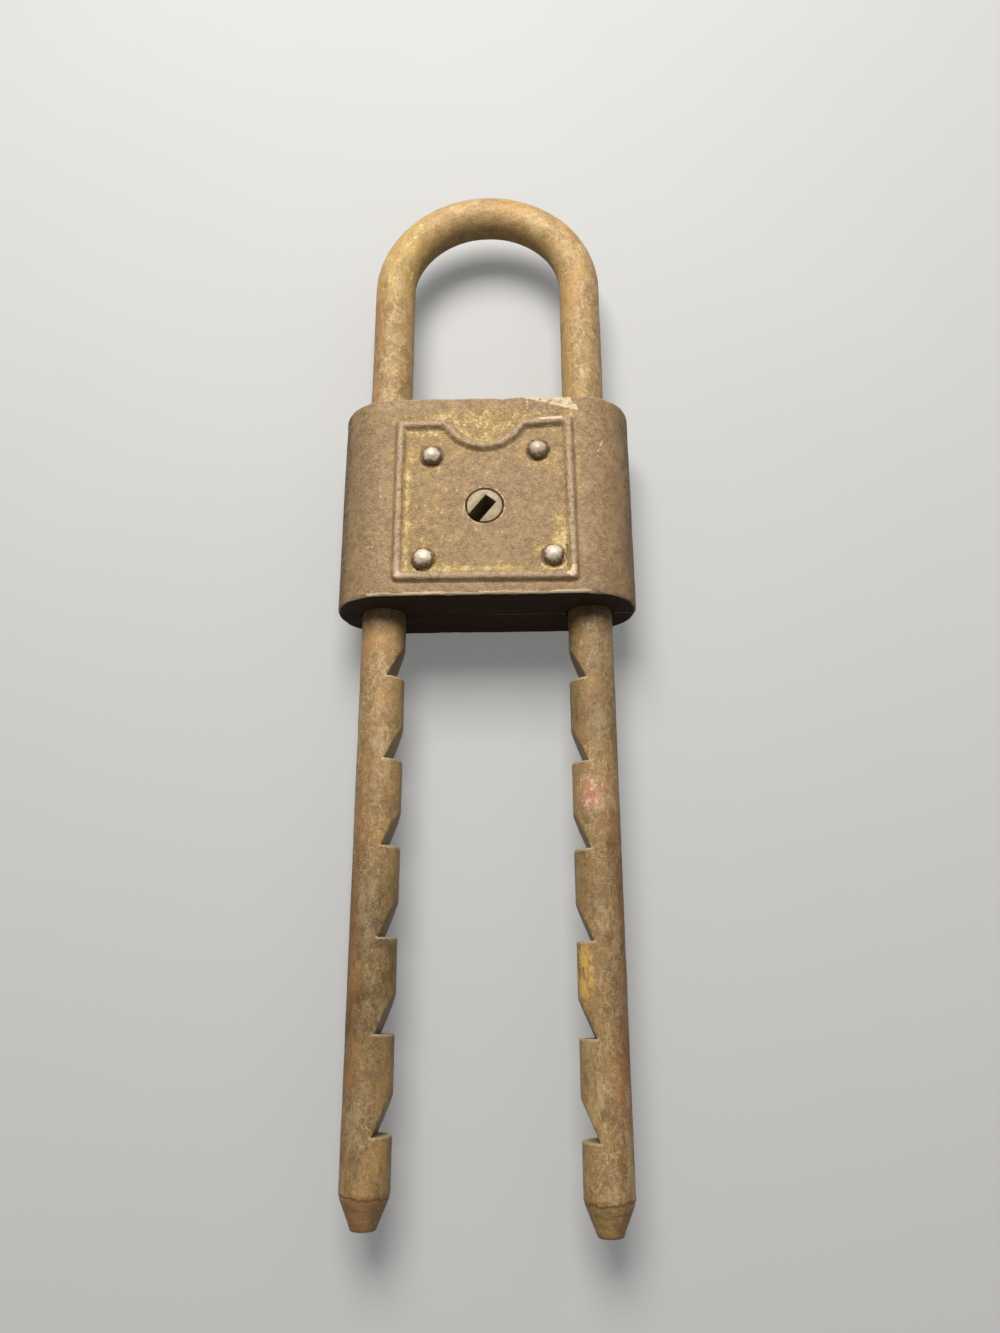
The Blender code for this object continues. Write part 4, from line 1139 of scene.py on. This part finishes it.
# %% Wear, bare metal and painted highlights
def wear_mask(x, y, z, gap, outside):
    """Rubbed, smoother metal, from 0 to 1."""
    crest = np.exp(-((gap / (0.72 * MM)) ** 4)) * (z > FACE)
    low_left = hump(np.hypot(x - PANEL_LEFT, y - PANEL_BOTTOM), 0, 3.0 * MM)
    edge = outside * eased(np.abs(y), CASE_END - 0.75 * MM, CASE_END - 0.35 * MM)
    edge *= 1 - eased(np.abs(y), CASE_END - 0.10 * MM, CASE_END - 0.04 * MM)
    return np.clip(0.62 * crest + 0.3 * low_left * crest + 0.75 * edge, 0, 1.2)


SCRATCHES = (
    ((7.85, 19.6), (7.95, 16.6), 0.75),
    ((21.5, 10.6), (20.6, 8.1), 0.85),
    ((-18.9, 4.9), (-18.9, 4.2), 0.50),
    ((-18.9, 1.9), (-18.8, -0.6), 0.62),
    ((-20.9, -10.2), (-19.8, -10.2), 0.75),
    ((17.6, 7.8), (18.0, 6.5), 0.50),
)


def scratch_share(x, y):
    """1 on the few straight scratches of the front, 0 away from them."""
    place = np.stack([x, y], axis=1)
    shares = np.zeros(len(x))
    for start, end, amount in SCRATCHES:
        reach = from_segment(place, np.array(start) * MM, np.array(end) * MM)
        shares = np.maximum(shares, amount * hump(reach, 0, 0.19 * MM))
    return shares


def bare_and_highlight_mask(x, y, z, gap):
    """Pale bare metal: the scrape, two corners of the bead, the plug's rim, scratches; and painted highlights
    on a streak of the bead and along the lower front edge.
    """
    on_front = z > FACE - 0.5 * MM
    scrape = 0.70 * scrape_share(x, y) * (z > FACE - 0.9 * MM)
    # Painted highlight: a bright streak on the bead's upper right rail.
    streak_highlight = hump(gap, 0.42 * MM, 0.28 * MM) * (y > PANEL_TOP)
    streak_highlight *= eased(x, 9.8 * MM, 10.4 * MM) * (1 - eased(x, 13.8 * MM, 14.6 * MM))
    crest = np.exp(-((gap / (0.7 * MM)) ** 4))
    low_right = np.hypot(x - PANEL_RIGHT + 0.4 * MM, y - PANEL_BOTTOM - 0.5 * MM)
    low_left = np.hypot(x - PANEL_LEFT, y - PANEL_BOTTOM)
    corner = (1.5 * hump(low_right, 0, 1.7 * MM) + hump(low_left, 0, 1.6 * MM)) * crest
    # Painted highlight: a bright wavy line along the lower front edge.
    wave = 0.07 * MM * np.sin(x / (1.9 * MM)) + 0.04 * MM * np.sin(x / (0.7 * MM) + 1.0)
    lower_edge_highlight = hump(y, -CASE_END + 0.42 * MM + wave, 0.24 * MM) * (z > FACE - 0.6 * MM)
    ring = 0.72 * hump(from_plug_hole(x, y), 0.22 * MM, 0.16 * MM) * on_front
    scratches = scratch_share(x, y) * (z > FACE - 2.0 * MM)
    return scrape + (2.2 * streak_highlight + 0.62 * corner) * on_front + 1.4 * lower_edge_highlight + ring + scratches


# %% Grime and painted shade
def grime_and_shade_mask(x, y, z, gap, outside):
    """Dark dirt in the seam, and painted shade in every crease and hole, at the bores' mouths, on the low
    sides and on the end towards the tips.
    """
    on_front = z > FACE - 0.5 * MM
    # Painted shade in the creases at the bead's foot and round the rivets.
    foot_shade = 0.55 * hump(gap, -BEAD_HALF - 0.02 * MM, 0.18 * MM)
    foot_shade += 0.50 * hump(gap, BEAD_HALF + 0.06 * MM, 0.18 * MM)
    rings = np.zeros(len(x))
    for rivet_x, rivet_y in RIVETS.values():
        rings += 0.85 * hump(np.hypot(x - rivet_x, y - rivet_y), 2.12 * MM, 0.26 * MM)
    low_x, low_y = RIVETS["lower_right"]
    rings += 0.45 * hump(np.hypot(x - low_x, y - low_y), OUTER_RING, 0.2 * MM) * (gap < 0)
    seam = 0.6 * hump(z, MIDDLE, 0.22 * MM)
    # Painted shade at the bores' mouths.
    bore = np.hypot(np.abs(x) - LEG_X, z - MIDDLE) - ROD_RADIUS
    mouth_shade = 0.6 * hump(bore, 0.3 * MM, 0.5 * MM) * (np.abs(y) > CASE_END - 0.5 * MM)
    # Painted shade on the low round sides, on the end towards the tips, and inside every hole.
    low_side_shade = eased(-z, -18.6 * MM, -14.2 * MM) * np.where(x < 0, 0.58, 0.50)
    tip_end_shade = 1.2 * eased(-y, CASE_END - 0.28 * MM, CASE_END - 0.05 * MM)
    inside_holes_shade = 0.9
    return np.where(outside, (foot_shade + rings) * on_front + seam + mouth_shade + low_side_shade + tip_end_shade, inside_holes_shade)


# %% Store the masks on the castings
def paint(mesh):
    """Stores the four masks on a casting's points."""
    x, y, z = points_of(mesh).T
    reach = np.hypot(np.clip(np.abs(x) - FLAT_HALF, 0, 1), z - MIDDLE)
    ends = np.abs(y) > CASE_END - 0.45 * MM
    outside = (reach > MIDDLE - 0.75 * MM) | ends
    gap = from_bead(x, y)
    front = (z > FACE - 0.5 * MM) & outside
    masks = {
        "dust": np.where(front, panel_dust(x, y, gap) + border_dust(x, y, gap), 0.12),
        "wear": wear_mask(x, y, z, gap, outside),
        "bare_and_highlight": bare_and_highlight_mask(x, y, z, gap),
        "grime_and_shade": grime_and_shade_mask(x, y, z, gap, outside),
    }
    for name, values in masks.items():
        stored = mesh.attributes.new(name, "FLOAT", "POINT")
        stored.data.foreach_set("value", np.clip(values, 0, 1.5))


# %% Dress both castings
for node in ("front_case", "back_case"):
    mesh = dressed_casting(node)
    paint(mesh)
    casting_piece = new_object(f"{node.split('_')[0]}_casting", mesh)
    hand_over(casting_piece, casting, "case", "casting", node)

# %% [markdown]
# ## The rod, swept in Geometry Nodes
#
# The shackle follows a rule: a round section that is swept along a path, with one wedge taken out of its
# inner side at every step. The path is a plain row of points, with extra points at each shoulder, and it
# carries the notch's depth at each. The tree sweeps a circle along it, presses every point that stands above
# the notch's floor down to it, and adds a fine uneven surface. A Boolean with eighteen wedges would also
# work, but it would leave the notch faces too coarse to pit.
#
# The tones say how much lighter or darker the rod's colour is made: each pair is a level in millimetres and a
# factor for the colour. Round the bow the tone is painted light, lighter at its top and on its right side.

# %% Points along the rod's path
PATH_STEP = 0.42 * MM
SHOULDER_WEAR = 0.16 * MM
CREASE_WIDTH = 0.28 * MM
ROD_TONES = {
    -1: (
        (-121, 0.94), (-100, 0.90), (-92, 0.70), (-72, 0.68),
        (-58, 0.96), (-38, 1.05), (20, 1.10), (51, 1.04),
    ),
    1: (
        (-121, 1.12), (-100, 1.05), (-86, 0.86), (-62, 0.82), (-52, 1.10),
        (-40, 0.76), (-24, 0.84), (20, 1.04), (51, 1.20),
    ),
}


def shoulders(side):
    return [FIRST_SHOULDER[side] - index * NOTCH_PITCH for index in range(NOTCH_COUNT)]


def leg_levels(side, tip):
    """Levels in Y from the tip to the bend, close together at the tip and at each shoulder."""
    levels = list(np.arange(tip, BOW_START, PATH_STEP))
    extra = [tip + 0.12 * MM, tip + TIP_TAPER]
    for offset in (-0.30, -0.12, 0.12, 0.30):
        extra.append(tip + TIP_TAPER + offset * MM)
    for shoulder in shoulders(side):
        extra += [shoulder - 2 * SHOULDER_WEAR, shoulder - SHOULDER_WEAR, shoulder - 0.03 * MM, shoulder]
        levels = [y for y in levels if not shoulder - 0.5 * MM < y < shoulder + 0.2 * MM]
    levels = [y for y in levels if abs(y - tip - TIP_TAPER) > 0.4 * MM]
    return sorted(set(levels + extra))


def depth_at(side, y):
    """How deep the notch's floor lies under the rod's surface at a level."""
    for shoulder in shoulders(side):
        above = y - shoulder
        if -SHOULDER_WEAR - 1e-9 < above < -1e-9:
            return 0.12 * MM * (1 + above / SHOULDER_WEAR)
        if -1e-9 <= above < NOTCH_RAMP:
            return NOTCH_DEPTH * (1 - above / NOTCH_RAMP)
    return 0.0


def girth_at(y, tip):
    """The rod's radius at a level, as a share of its full radius: a tapered tip with a crease above it."""
    above = y - tip
    taper = min(above / TIP_TAPER, 1.0)
    radius = TIP_RADIUS + (ROD_RADIUS - TIP_RADIUS) * taper
    if above < 0.1 * MM:
        radius -= 0.12 * MM
    crease = math.exp(-(((above - TIP_TAPER) / CREASE_WIDTH) ** 2))
    burr = math.exp(-(((above - TIP_TAPER - 0.45 * MM) / CREASE_WIDTH) ** 2))
    return (radius - 0.10 * MM * crease + 0.03 * MM * burr) / ROD_RADIUS


def tone_at(side, y):
    """How much lighter or darker the colour is made at a level of one leg."""
    levels, tones = zip(*ROD_TONES[side])
    return float(np.interp(y / MM, levels, tones))


def leg_rows(side):
    """Rows of place, notch depth, girth, distance from the tip, rim and tone for one leg, from its tip up."""
    tip = shoulders(side)[-1] - TIP_BELOW_NOTCHES
    rows = []
    for y in leg_levels(side, tip):
        rim = max(math.exp(-(((y - s + 0.15 * MM) / (0.25 * MM)) ** 2)) for s in shoulders(side))
        place = (side * LEG_X, y, MIDDLE)
        rows.append((place, depth_at(side, y), girth_at(y, tip), y - tip, rim, tone_at(side, y)))
    return rows


def bow_rows():
    steps = round(math.pi * LEG_X / PATH_STEP)
    rows = []
    for k in range(steps + 1):
        turn = math.pi * (1 - k / steps)
        place = (LEG_X * math.cos(turn), BOW_START + LEG_X * math.sin(turn), MIDDLE)
        # Painted light: the bow is made lighter at its top and on its right side.
        tone = 1.12 + 0.08 * math.cos(turn) + 0.14 * math.sin(turn)
        rows.append((place, 0.0, 1.0, 0.1, 0.0, tone))
    return rows


ROW_NAMES = ("notch", "girth", "from_tip", "rim", "tone")


def path_mesh():
    """The rod's path as a row of joined points that carry their numbers as attributes."""
    rows = leg_rows(-1) + bow_rows() + leg_rows(1)[::-1]
    places = np.array([row[0] for row in rows])
    mesh = bpy.data.meshes.new("rod_path")
    mesh.from_pydata(places.tolist(), [(k, k + 1) for k in range(len(rows) - 1)], [])
    along = np.concatenate([[0], np.cumsum(np.linalg.norm(np.diff(places, axis=0), axis=1))])
    columns = {name: [row[1 + k] for row in rows] for k, name in enumerate(ROW_NAMES)}
    columns["along"] = along
    for name, values in columns.items():
        mesh.attributes.new(name, "FLOAT", "POINT").data.foreach_set("value", np.array(values, float))
    mesh.attributes.new("spine", "FLOAT_VECTOR", "POINT").data.foreach_set("vector", places.ravel())
    return mesh


ROD_PATH = path_mesh()
print("the rod's path has", len(ROD_PATH.vertices), "points")


# %% [markdown]
# ### The tree that sweeps the rod
#
# Named inputs hold the rod's radius, how many sides its section has, and how deep the pitting is. Each point
# knows its place on the spine, so its offset from there tells which side of the rod it is on: the notches are
# on the side that faces the other leg. The tree also stores the straightened place of each point for the
# material.


# %% Build and run the sweep
def new_tree(name, sockets):
    """A Geometry Nodes tree with a geometry input and output, and named inputs with their defaults."""
    tree = bpy.data.node_groups.new(name, "GeometryNodeTree")
    tree.interface.new_socket("Geometry", in_out="INPUT", socket_type="NodeSocketGeometry")
    for label, kind, value in sockets:
        made = tree.interface.new_socket(label, in_out="INPUT", socket_type=kind)
        if value is not None:
            made.default_value = value
    tree.interface.new_socket("Geometry", in_out="OUTPUT", socket_type="NodeSocketGeometry")
    return tree, tree.nodes.new("NodeGroupInput"), tree.nodes.new("NodeGroupOutput")


def named(tree, name, kind="FLOAT"):
    return add(tree, "GeometryNodeInputNamedAttribute", {"Name": name}, data_type=kind).outputs[0]


def stored(tree, geometry, name, value, kind="FLOAT"):
    inputs = {"Geometry": geometry, "Name": name, "Value": value}
    made = add(tree, "GeometryNodeStoreNamedAttribute", inputs, data_type=kind, domain="POINT")
    return made.outputs[0]


def shifted(tree, geometry, offset):
    return add(tree, "GeometryNodeSetPosition", {"Geometry": geometry, "Offset": offset}).outputs[0]


def uneven(tree, geometry, place, per_metre, depth, detail):
    """Moves a surface in and out along its normal by noise."""
    rough = add(tree, "ShaderNodeTexNoise", {"Vector": place, "Scale": per_metre, "Detail": detail})
    amount = swing(tree, rough.outputs[0], depth)
    normal = add(tree, "GeometryNodeInputNormal").outputs[0]
    offset = add(tree, "ShaderNodeVectorMath", {0: normal, "Scale": amount}, operation="SCALE").outputs[0]
    return shifted(tree, geometry, offset)


def straightened(tree, place, height):
    """Where a point would lie on a straight rod: inwards, upwards, and along the path."""
    across, lengthwise = add(tree, "ShaderNodeSeparateXYZ", {0: place}).outputs[:2]
    past_legs = maths(tree, "MAXIMUM", minus(tree, lengthwise, BOW_START), 0.0)
    squares = plus(tree, maths(tree, "POWER", across, 2.0), maths(tree, "POWER", past_legs, 2.0))
    inward = minus(tree, LEG_X, maths(tree, "SQRT", squares))
    parts = {0: inward, 1: height, 2: named(tree, "along")}
    return add(tree, "ShaderNodeCombineXYZ", parts).outputs[0]


ROD_SIDES = 72
ROD_WAVES = 160.0
ROD_PITS = 1100.0


def rod_tree():
    sockets = [
        ("Rod Radius", "NodeSocketFloat", ROD_RADIUS),
        ("Sides", "NodeSocketInt", ROD_SIDES),
        ("Pit Depth", "NodeSocketFloat", 0.10 * MM),
        ("Wave Depth", "NodeSocketFloat", 0.16 * MM),
        ("Material", "NodeSocketMaterial", None),
    ]
    tree, given, result = new_tree("notched_rod", sockets)
    path = add(tree, "GeometryNodeMeshToCurve", {0: given.outputs["Geometry"]}).outputs[0]
    circle = add(tree, "GeometryNodeCurvePrimitiveCircle", {"Resolution": given.outputs["Sides"]})
    tree.links.new(given.outputs["Rod Radius"], circle.inputs["Radius"])
    inputs = {"Curve": path, "Profile Curve": circle.outputs[0], "Fill Caps": True}
    inputs["Scale"] = named(tree, "girth")
    rod = add(tree, "GeometryNodeCurveToMesh", inputs).outputs[0]

    place = add(tree, "GeometryNodeInputPosition").outputs[0]
    spine = named(tree, "spine", "FLOAT_VECTOR")
    apart = vector_maths(tree, "SUBTRACT", place, spine)[0]
    apart_x, _, apart_z = add(tree, "ShaderNodeSeparateXYZ", {0: apart}).outputs
    side = maths(tree, "SIGN", add(tree, "ShaderNodeSeparateXYZ", {0: spine}).outputs[0])
    toward = times(tree, times(tree, apart_x, side), -1.0)
    floor = minus(tree, given.outputs["Rod Radius"], named(tree, "notch"))
    above = maths(tree, "MAXIMUM", minus(tree, toward, floor), 0.0)
    in_notch = maths(tree, "GREATER_THAN", named(tree, "notch"), 0.0)
    rod = stored(tree, rod, "cut", times(tree, above, in_notch))
    rod = stored(tree, rod, "straight", straightened(tree, place, apart_z), "FLOAT_VECTOR")

    press = times(tree, named(tree, "cut"), side)
    rod = shifted(tree, rod, add(tree, "ShaderNodeCombineXYZ", {0: press}).outputs[0])
    straight = named(tree, "straight", "FLOAT_VECTOR")
    rod = uneven(tree, rod, straight, ROD_WAVES, given.outputs["Wave Depth"], 2.0)
    rod = uneven(tree, rod, straight, ROD_PITS, given.outputs["Pit Depth"], 3.0)
    rod = add(tree, "GeometryNodeRealizeInstances", {0: rod}).outputs[0]
    rod = add(tree, "GeometryNodeSetMaterial", {"Geometry": rod, "Material": given.outputs["Material"]})
    tree.links.new(rod.outputs[0], result.inputs[0])
    return tree


def grown(name, mesh, tree, values):
    """Runs a tree on a mesh, with the given values for its named inputs, and returns the plain result."""
    carrier = new_object(f"{name}_carrier", mesh)
    modifier = carrier.modifiers.new("grow", "NODES")
    modifier.node_group = tree
    sockets = {item.name: item.identifier for item in tree.interface.items_tree if item.in_out == "INPUT"}
    for label, value in values.items():
        modifier[sockets[label]] = value
    result = baked(carrier, name)
    result.shade_smooth()
    result.set_sharp_from_angle(angle=SHARP)
    return result


rod_mesh = grown("notched_rod", ROD_PATH, rod_tree(), {"Material": rod_steel, "Sides": ROD_SIDES})
rod_piece = new_object("notched_rod", rod_mesh)
hand_over(rod_piece, rod_steel, "shackle", "rod_steel", "shackle")

# %% [markdown]
# ## The rivets
#
# Four round-headed rivets hold the castings together. They are alike but not the same, because each was
# hammered over by hand. So one rivet is turned from a profile, and a tree sets it at the four places with a
# turn and a size of its own, then makes each head uneven by noise at its own place. The places also carry the
# shine of each crown, which goes to the finished heads.

# %% One turned rivet
RIVET_HEAD = 1.9 * MM
RIVET_CROWN = 1.4 * MM
RIVET_SHANK = 1.2 * MM
RIVET_SIDES = 44
RIVET_SHINE = {"upper_left": 0.95, "upper_right": 0.62, "lower_left": 1.0, "lower_right": 0.95}


def turned(name, profile, sides):
    """A closed solid turned about Z from a profile of radius and level that starts and ends on the axis."""
    bm = bmesh.new()
    rings = []
    for radius, level in profile:
        if radius == 0:
            rings.append([bm.verts.new((0, 0, level))])
            continue
        turns = [2 * math.pi * k / sides for k in range(sides)]
        rings.append([bm.verts.new((radius * math.cos(t), radius * math.sin(t), level)) for t in turns])
    for near, far in zip(rings, rings[1:]):
        for k in range(sides):
            ahead = (k + 1) % sides
            corners = [near[k % len(near)], near[ahead % len(near)], far[ahead % len(far)], far[k % len(far)]]
            bm.faces.new(list(dict.fromkeys(corners)))
    bmesh.ops.recalc_face_normals(bm, faces=bm.faces)
    return mesh_of(bm, name)


def rivet_profile():
    """From the peened tail in the back casting, up the shank, to the crown."""
    rim = FACE - PANEL_RECESS - 0.1 * MM
    profile = [(0, 0.12 * MM), (1.0 * MM, 0.14 * MM), (1.7 * MM, 0.22 * MM), (1.8 * MM, 0.3 * MM)]
    profile += [(RIVET_SHANK, 0.9 * MM), (RIVET_SHANK, rim), (RIVET_HEAD * 0.97, rim)]
    crown = FACE + 0.1 * MM
    for share in np.linspace(1, 0, 15):
        level = crown + RIVET_CROWN * (1 - share**2.1) ** 0.86
        profile.append((RIVET_HEAD * share, level))
    return profile


# %% Set it at four places
FULL_TURN = 6.28
HAMMER_MARKS = 620.0


def rivet_tree():
    sockets = [
        ("Rivet", "NodeSocketObject", None),
        ("Seed", "NodeSocketInt", 5),
        ("Hammering", "NodeSocketFloat", 0.36 * MM),
        ("Material", "NodeSocketMaterial", None),
    ]
    tree, given, result = new_tree("hand_set_rivets", sockets)
    one = add(tree, "GeometryNodeObjectInfo", {"Object": given.outputs["Rivet"]}).outputs["Geometry"]
    seed = given.outputs["Seed"]
    turn = add(tree, "FunctionNodeRandomValue", {2: 0.0, 3: FULL_TURN, "Seed": seed}).outputs[1]
    spin = add(tree, "ShaderNodeCombineXYZ", {2: turn}).outputs[0]
    width = add(tree, "FunctionNodeRandomValue", {2: 0.96, 3: 1.02, "Seed": seed}).outputs[1]
    size = add(tree, "ShaderNodeCombineXYZ", {0: width, 1: 1.0, 2: 1.0}).outputs[0]
    inputs = {"Points": given.outputs["Geometry"], "Instance": one, "Rotation": spin, "Scale": size}
    placed = add(tree, "GeometryNodeInstanceOnPoints", inputs).outputs[0]
    real = add(tree, "GeometryNodeRealizeInstances", {0: placed}).outputs[0]
    place = add(tree, "GeometryNodeInputPosition").outputs[0]
    real = uneven(tree, real, place, HAMMER_MARKS, given.outputs["Hammering"], 1.0)
    real = add(tree, "GeometryNodeSetMaterial", {"Geometry": real, "Material": given.outputs["Material"]})
    tree.links.new(real.outputs[0], result.inputs[0])
    return tree


one_rivet = new_object("one_rivet", turned("one_rivet", rivet_profile(), RIVET_SIDES))
rivet_points = bpy.data.meshes.new("rivet_places")
rivet_points.from_pydata([(x, y, 0) for x, y in RIVETS.values()], [], [])
shines = [RIVET_SHINE[where] for where in RIVETS]
rivet_points.attributes.new("shine", "FLOAT", "POINT").data.foreach_set("value", shines)
rivet_mesh = grown("rivet_heads", rivet_points, rivet_tree(), {"Rivet": one_rivet, "Material": rivet_steel})
bpy.data.objects.remove(one_rivet)
rivet_piece = new_object("hammered_rivets", rivet_mesh)
hand_over(rivet_piece, rivet_steel, "case", "rivet_steel", *[f"rivet_{where}" for where in RIVET_NAMES])

# %% [markdown]
# ## The key plug
#
# The plug keeps its solid's shape: grooves for the wards, a keyway and a tail. Its edges are eased, as use
# has done on the real one. A bevel needs clean flat faces, so the copy's flat triangles are joined first.

# %% Ease the plug's edges
PLUG_EASE = 0.09 * MM


def eased_copy(node, width):
    """A merged copy of a solid, with its flat faces joined and its sharp edges rounded off."""
    bm = merged_copy(node)
    bmesh.ops.dissolve_limit(bm, angle_limit=math.radians(1), verts=bm.verts, edges=bm.edges)
    obj = new_object(f"{node}_eased", mesh_of(bm, f"{node}_eased"))
    ease = obj.modifiers.new("ease", "BEVEL")
    ease.width = width
    ease.segments = 2
    ease.limit_method = "ANGLE"
    ease.angle_limit = math.radians(40)
    mesh = baked(obj, node)
    mesh.shade_smooth()
    mesh.set_sharp_from_angle(angle=SHARP)
    return mesh


plug_piece = new_object("worn_plug", eased_copy("key_plug", PLUG_EASE))
hand_over(plug_piece, plug_metal, "key_plug", "plug_metal", "key_plug")

# %% [markdown]
# ## The lock works
#
# Everything sealed in the case already has its right shape in the solids: the barrel, the wards, the cam and
# its pins, both bolts, the springs, the guide plate and its screws. These only need their metals.

# %% Brass and steel for the works
METALS = {"works_brass": works_brass, "works_steel": works_steel}
SLOT_OF = {row["node"]: row["material_slot"] for row in frame["record"]["subparts"]}
for name, obj in nodes.items():
    metal = METALS.get(SLOT_OF.get(name))
    if metal is None:
        continue
    obj.data.materials.clear()
    obj.data.materials.append(metal)
print("dressed", sum(slot in METALS for slot in SLOT_OF.values()), "pieces of the works")

# %% [markdown]
# ## Floor
#
# The padlock lies on its back on a plain pale floor. It is dark only to the light that bounces off it, as the
# table in the photo is, so that no light comes from below.


# %% Floor
FLOOR_HALF = 1.5
FLOOR_LEVEL = -0.1 * MM
UNDER_LIGHT = (0.05, 0.05, 0.05, 1)
FLOOR_GLOW = 0.16


def floor_finish():
    """Pale to the camera and to reflections, and dark to the light that bounces."""
    made, tree, shader, where = new_material("pale_floor", 0.0)
    cloudy = grain(tree, where, 14, 3)
    pale = blend(tree, cloudy, (0.44, 0.44, 0.435, 1), (0.47, 0.47, 0.465, 1))
    ray = add(tree, "ShaderNodeLightPath").outputs
    seen = plus(tree, ray["Is Camera Ray"], ray["Is Glossy Ray"])
    seen = plus(tree, seen, ray["Is Transmission Ray"], True)
    tree.links.new(blend(tree, seen, UNDER_LIGHT, pale), shader.inputs["Base Color"])
    shader.inputs["Emission Color"].default_value = (1.0, 1.0, 0.99, 1)
    tree.links.new(times(tree, seen, FLOOR_GLOW), shader.inputs["Emission Strength"])
    shader.inputs["Roughness"].default_value = 0.9
    return made


floor_mesh = bpy.data.meshes.new("floor")
corners = [(x * FLOOR_HALF, y * FLOOR_HALF, FLOOR_LEVEL) for x, y in ((-1, -1), (1, -1), (1, 1), (-1, 1))]
floor_mesh.from_pydata(corners, [], [(0, 1, 2, 3)])
floor_object = new_object("floor", floor_mesh)
floor_mesh.materials.append(floor_finish())
